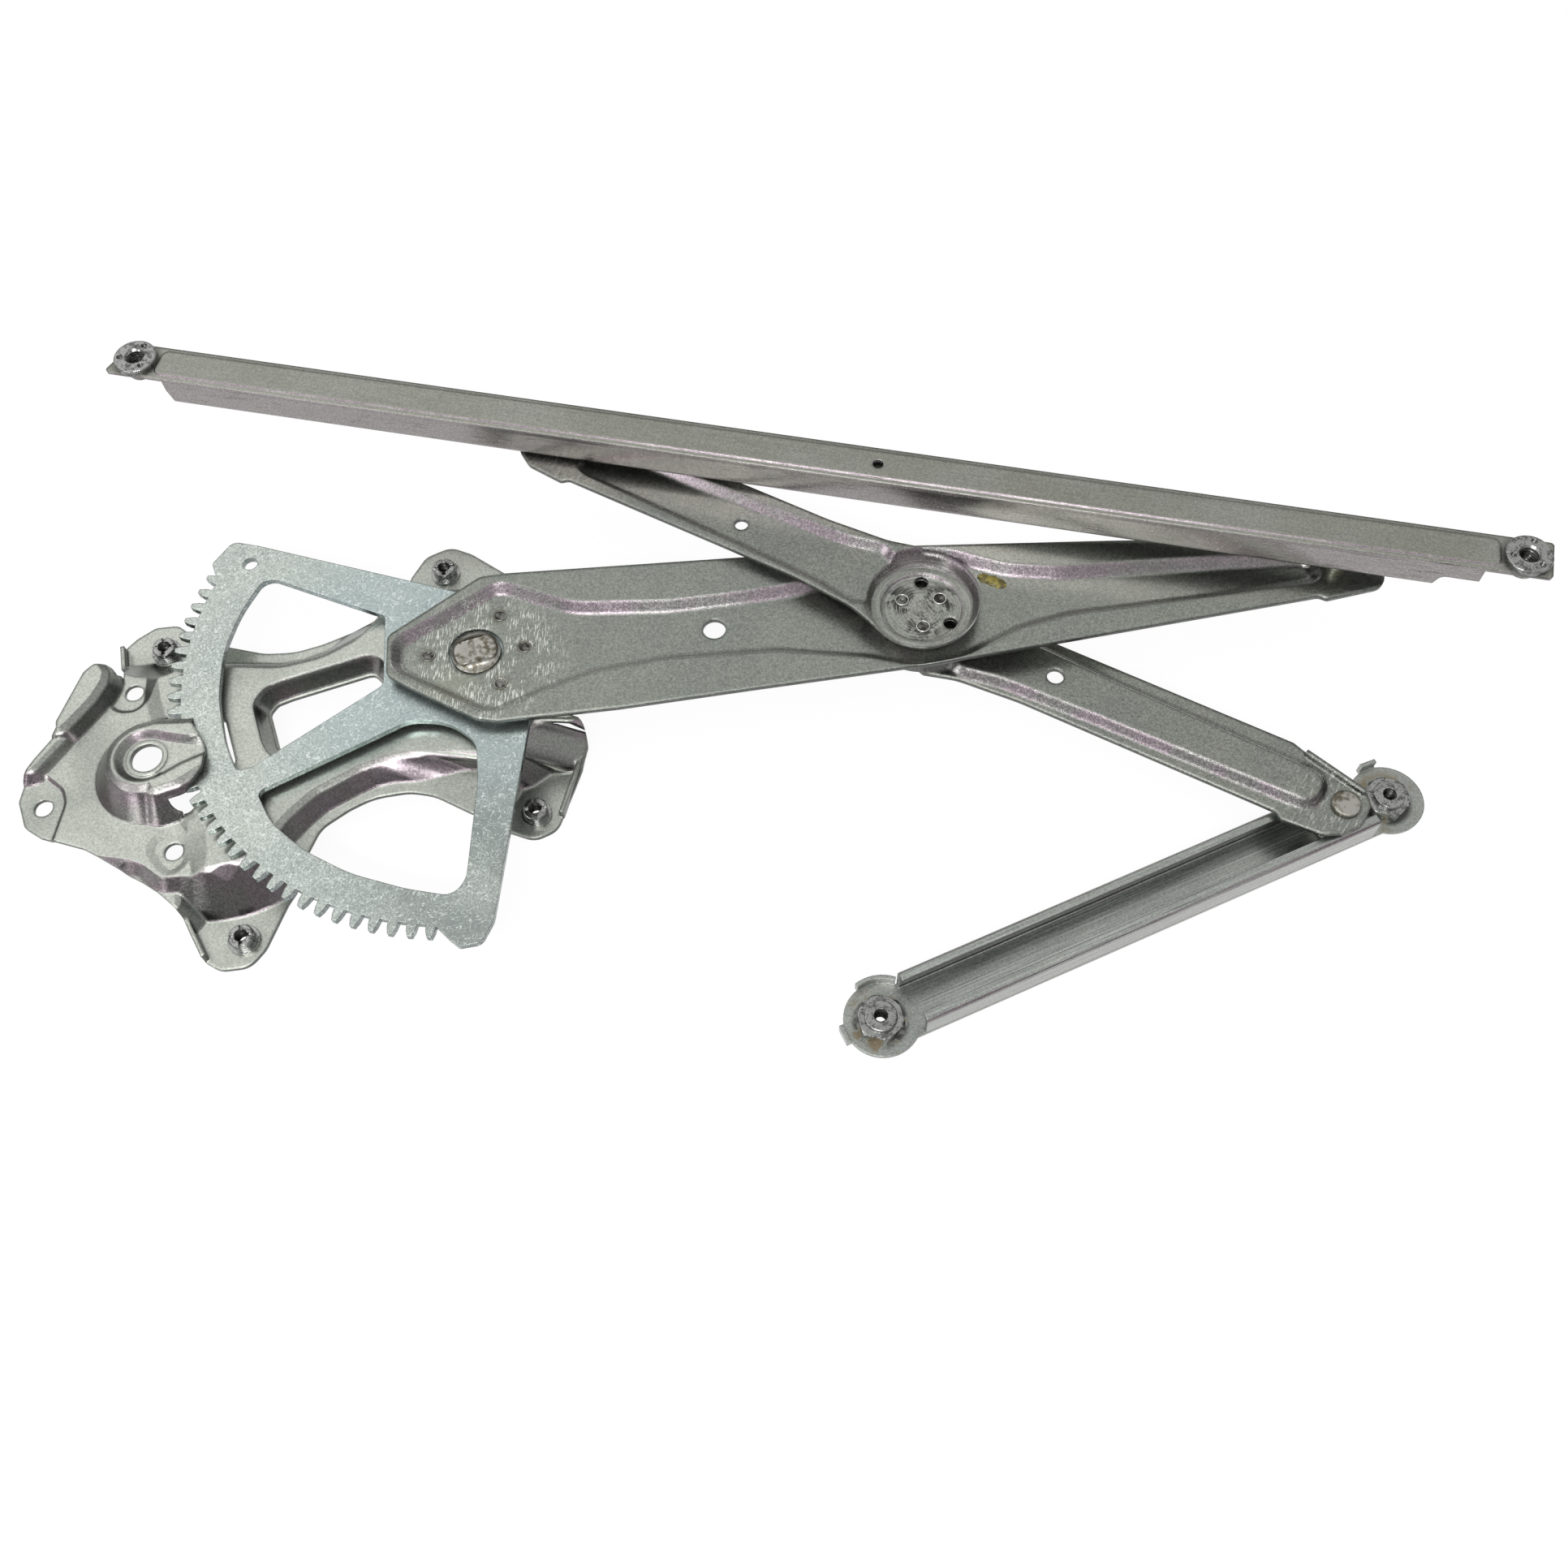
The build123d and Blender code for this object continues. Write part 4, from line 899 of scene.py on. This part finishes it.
# %% The shape of the dab
DAB_MIDDLE = SCISSOR + Vector((0.0256, 0.0188, 0))
DAB_TURN = math.radians(-14)
DAB_HALF_LENGTH, DAB_HALF_WIDTH, DAB_HEAP = 6.6, 2.5, 0.9
DAB_SUNK = 0.0003
COLUMNS, ROWS = 26, 12
ABOVE_ALL = 0.2

arm = nodes["lift_arm"]
arm_points = [arm.matrix_world @ vertex.co for vertex in arm.data.vertices]
arm_tree = BVHTree.FromPolygons(arm_points, [polygon.vertices[:] for polygon in arm.data.polygons])


def dab_point(i, j):
    """A point of the dab's grid on the arm, and how thick the grease is there, in metres."""
    u, v = 2 * i / COLUMNS - 1, 2 * j / ROWS - 1
    swell = 1 + 0.10 * math.sin(9 * u + 2) + 0.08 * math.sin(14 * v + 5 * u)
    x = DAB_HALF_LENGTH * u * math.sqrt(1 - v * v * 0.5) * swell
    y = DAB_HALF_WIDTH * v * math.sqrt(1 - u * u * 0.5) * swell
    east = x * math.cos(DAB_TURN) - y * math.sin(DAB_TURN)
    north = x * math.sin(DAB_TURN) + y * math.cos(DAB_TURN)
    spot = DAB_MIDDLE + Vector((east * MM, north * MM, 0))
    landed = arm_tree.ray_cast(Vector((spot.x, spot.y, ABOVE_ALL)), Vector((0, 0, -1)))[0]
    return spot.x, spot.y, landed.z, DAB_HEAP * (1 - u * u) * (1 - v * v) * MM


grid = [[dab_point(i, j) for j in range(ROWS + 1)] for i in range(COLUMNS + 1)]
print("dab draped on", len(arm_points), "points of the arm")

# %% The skin of the dab
dab = bmesh.new()
upper = [[dab.verts.new((x, y, z + heap)) for x, y, z, heap in line] for line in grid]
lower = [[dab.verts.new((x, y, z - DAB_SUNK)) for x, y, z, heap in line] for line in grid]
for i in range(COLUMNS):
    for j in range(ROWS):
        corners = (upper[i][j], upper[i + 1][j], upper[i + 1][j + 1], upper[i][j + 1])
        dab.faces.new(corners).smooth = True
        dab.faces.new((lower[i][j], lower[i][j + 1], lower[i + 1][j + 1], lower[i + 1][j]))
rim = [(i, 0) for i in range(COLUMNS)] + [(COLUMNS, j) for j in range(ROWS)]
rim += [(i, ROWS) for i in range(COLUMNS, 0, -1)] + [(0, j) for j in range(ROWS, 0, -1)]
for (i, j), (m, n) in zip(rim, rim[1:] + rim[:1]):
    dab.faces.new((upper[i][j], lower[i][j], lower[m][n], upper[m][n]))
place_piece("grease_dab", dab, [grease.data], "lift")
print("grease dab of", COLUMNS * ROWS, "patches")

# %% [markdown]
# ## Camera
# The camera looks down steeply on the mechanism as it lies on a table, from a little over half a
# metre, which gives the long glass channel its visible taper.  It is held with a slight roll.

# %% The camera
CAMERA_AT = Vector((0.22995, -0.35172, 0.52891))
CAMERA_TARGET = Vector((0.16400, -0.08484, 0.0250))
CAMERA_ROLL = math.radians(-2.7446)
LENS, SENSOR = 35.3406, 36.0

camera_data = bpy.data.cameras.new("camera")
camera_data.lens = LENS
camera_data.sensor_width = SENSOR
camera = bpy.data.objects.new("camera", camera_data)
bpy.context.scene.collection.objects.link(camera)
forward = (CAMERA_TARGET - CAMERA_AT).normalized()
right = forward.cross(Vector((0, 0, 1))).normalized()
up = right.cross(forward)
rolled_right = right * math.cos(CAMERA_ROLL) + up * math.sin(CAMERA_ROLL)
rolled_up = up * math.cos(CAMERA_ROLL) - right * math.sin(CAMERA_ROLL)
attitude = Matrix((rolled_right, rolled_up, -forward)).transposed().to_4x4()
camera.matrix_world = Matrix.Translation(CAMERA_AT) @ attitude
bpy.context.scene.camera = camera
print("camera at", tuple(round(v, 3) for v in CAMERA_AT))

# %% [markdown]
# ## Floor
# A studio sheet under the object carries its faint shadow.  Real paper would mirror grey in the metal
# and need strong lamps to look white, so most of what is seen of it, directly or in a reflection, is
# an even glow, and only a small share is lit paper.

# %% The floor
FLOOR_SIZE = 20.0
FLOOR_DROP = 0.0002
GLOW_SHARE = 0.94
PAPER_TONES = (0.93, 0.93, 0.93), (0.95, 0.95, 0.95)

floor_mesh = bpy.data.meshes.new("floor")
signs = [(-1, -1), (1, -1), (1, 1), (-1, 1)]
floor_mesh.from_pydata([(FLOOR_SIZE * x, FLOOR_SIZE * y, 0) for x, y in signs], [], [(0, 1, 2, 3)])
floor = bpy.data.objects.new("floor", floor_mesh)
bpy.context.scene.collection.objects.link(floor)
floor.location.z = cad_box[0].z - FLOOR_DROP

paper = Finish("studio_paper", Roughness=0.9)
paper.feed("Base Color", paper.mix(paper.noise(3), *PAPER_TONES))
glow = paper.node("ShaderNodeEmission", {}, {"Color": (1, 1, 1)})
seen = paper.node("ShaderNodeLightPath", output="Is Camera Ray")
mirrored = paper.node("ShaderNodeLightPath", output="Is Glossy Ray")
through = paper.node("ShaderNodeLightPath", output="Is Transmission Ray")
share = (seen + mirrored + through).clamped() * GLOW_SHARE
lit = Sock(paper, paper.shader.outputs[0])
blend = paper.node("ShaderNodeMixShader", {}, {0: share, 1: lit, 2: glow})
paper.plug(paper.tree.nodes["Material Output"].inputs["Surface"], blend)
floor.data.materials.append(paper.data)
print("studio sheet at", round(floor.location.z / MM, 2), "mm")

# %% [markdown]
# ## Room and lamps
# Bare metal shows what it mirrors.  The room is brightest overhead and softer towards the horizon,
# with a lighter patch to the left, so that flat faces and drawn slopes mirror different tones.  The
# camera itself sees plain white behind everything.

# %% The room
HORIZON, OVERHEAD, LEFT_PATCH = 0.28, 0.72, 0.45

world = bpy.data.worlds.new("studio")
bpy.context.scene.world = world
world.use_nodes = True
room = Board(world.node_tree)
direction = room.node("ShaderNodeTexCoord", output="Generated")
upward = room.part(direction, "Z")
leftward = room.part(direction, "X") * -1
left_glow = room.step(leftward, 0.14, 0.44) * room.step(upward, 0.3, 0.7)
mirrored_room = room.step(upward, 0.15, 0.80) * OVERHEAD + HORIZON + left_glow * LEFT_PATCH
looked_at = room.node("ShaderNodeLightPath", output="Is Camera Ray")
background = world.node_tree.nodes["Background"]
room.plug(background.inputs["Strength"], mirrored_room * (1 - looked_at) + looked_at)
room.plug(background.inputs["Color"], (1, 1, 1))
print("the room goes from", HORIZON, "at the horizon to", HORIZON + OVERHEAD, "overhead")

# %% [markdown]
# Three softboxes put the bright lines on the rolled edges: a long one in front and above, and two
# weaker ones from the left, of which one is low.

# %% The lamps
MIDDLE = (0.16, -0.08, 0.02)


def softbox(name, at, size, brightness):
    """A rectangular lamp of a given brightness, where 1 is as bright as a white wall."""
    lamp = bpy.data.lights.new(name, "AREA")
    lamp.shape = "RECTANGLE"
    lamp.size, lamp.size_y = size
    lamp.energy = brightness * math.pi * size[0] * size[1]
    thing = bpy.data.objects.new(name, lamp)
    bpy.context.scene.collection.objects.link(thing)
    thing.location = at
    thing.rotation_euler = (Vector(MIDDLE) - Vector(at)).to_track_quat("-Z", "Y").to_euler()
    print("softbox", name, round(lamp.energy, 1), "W")


softbox("front box", (0.10, -0.95, 1.20), (0.80, 0.20), 24.0)
softbox("left box", (-1.05, -0.95, 0.90), (0.40, 0.30), 6.0)
softbox("low box", (-0.66, -1.35, 0.30), (0.45, 0.25), 6.0)
bpy.context.scene.view_settings.view_transform = "Standard"
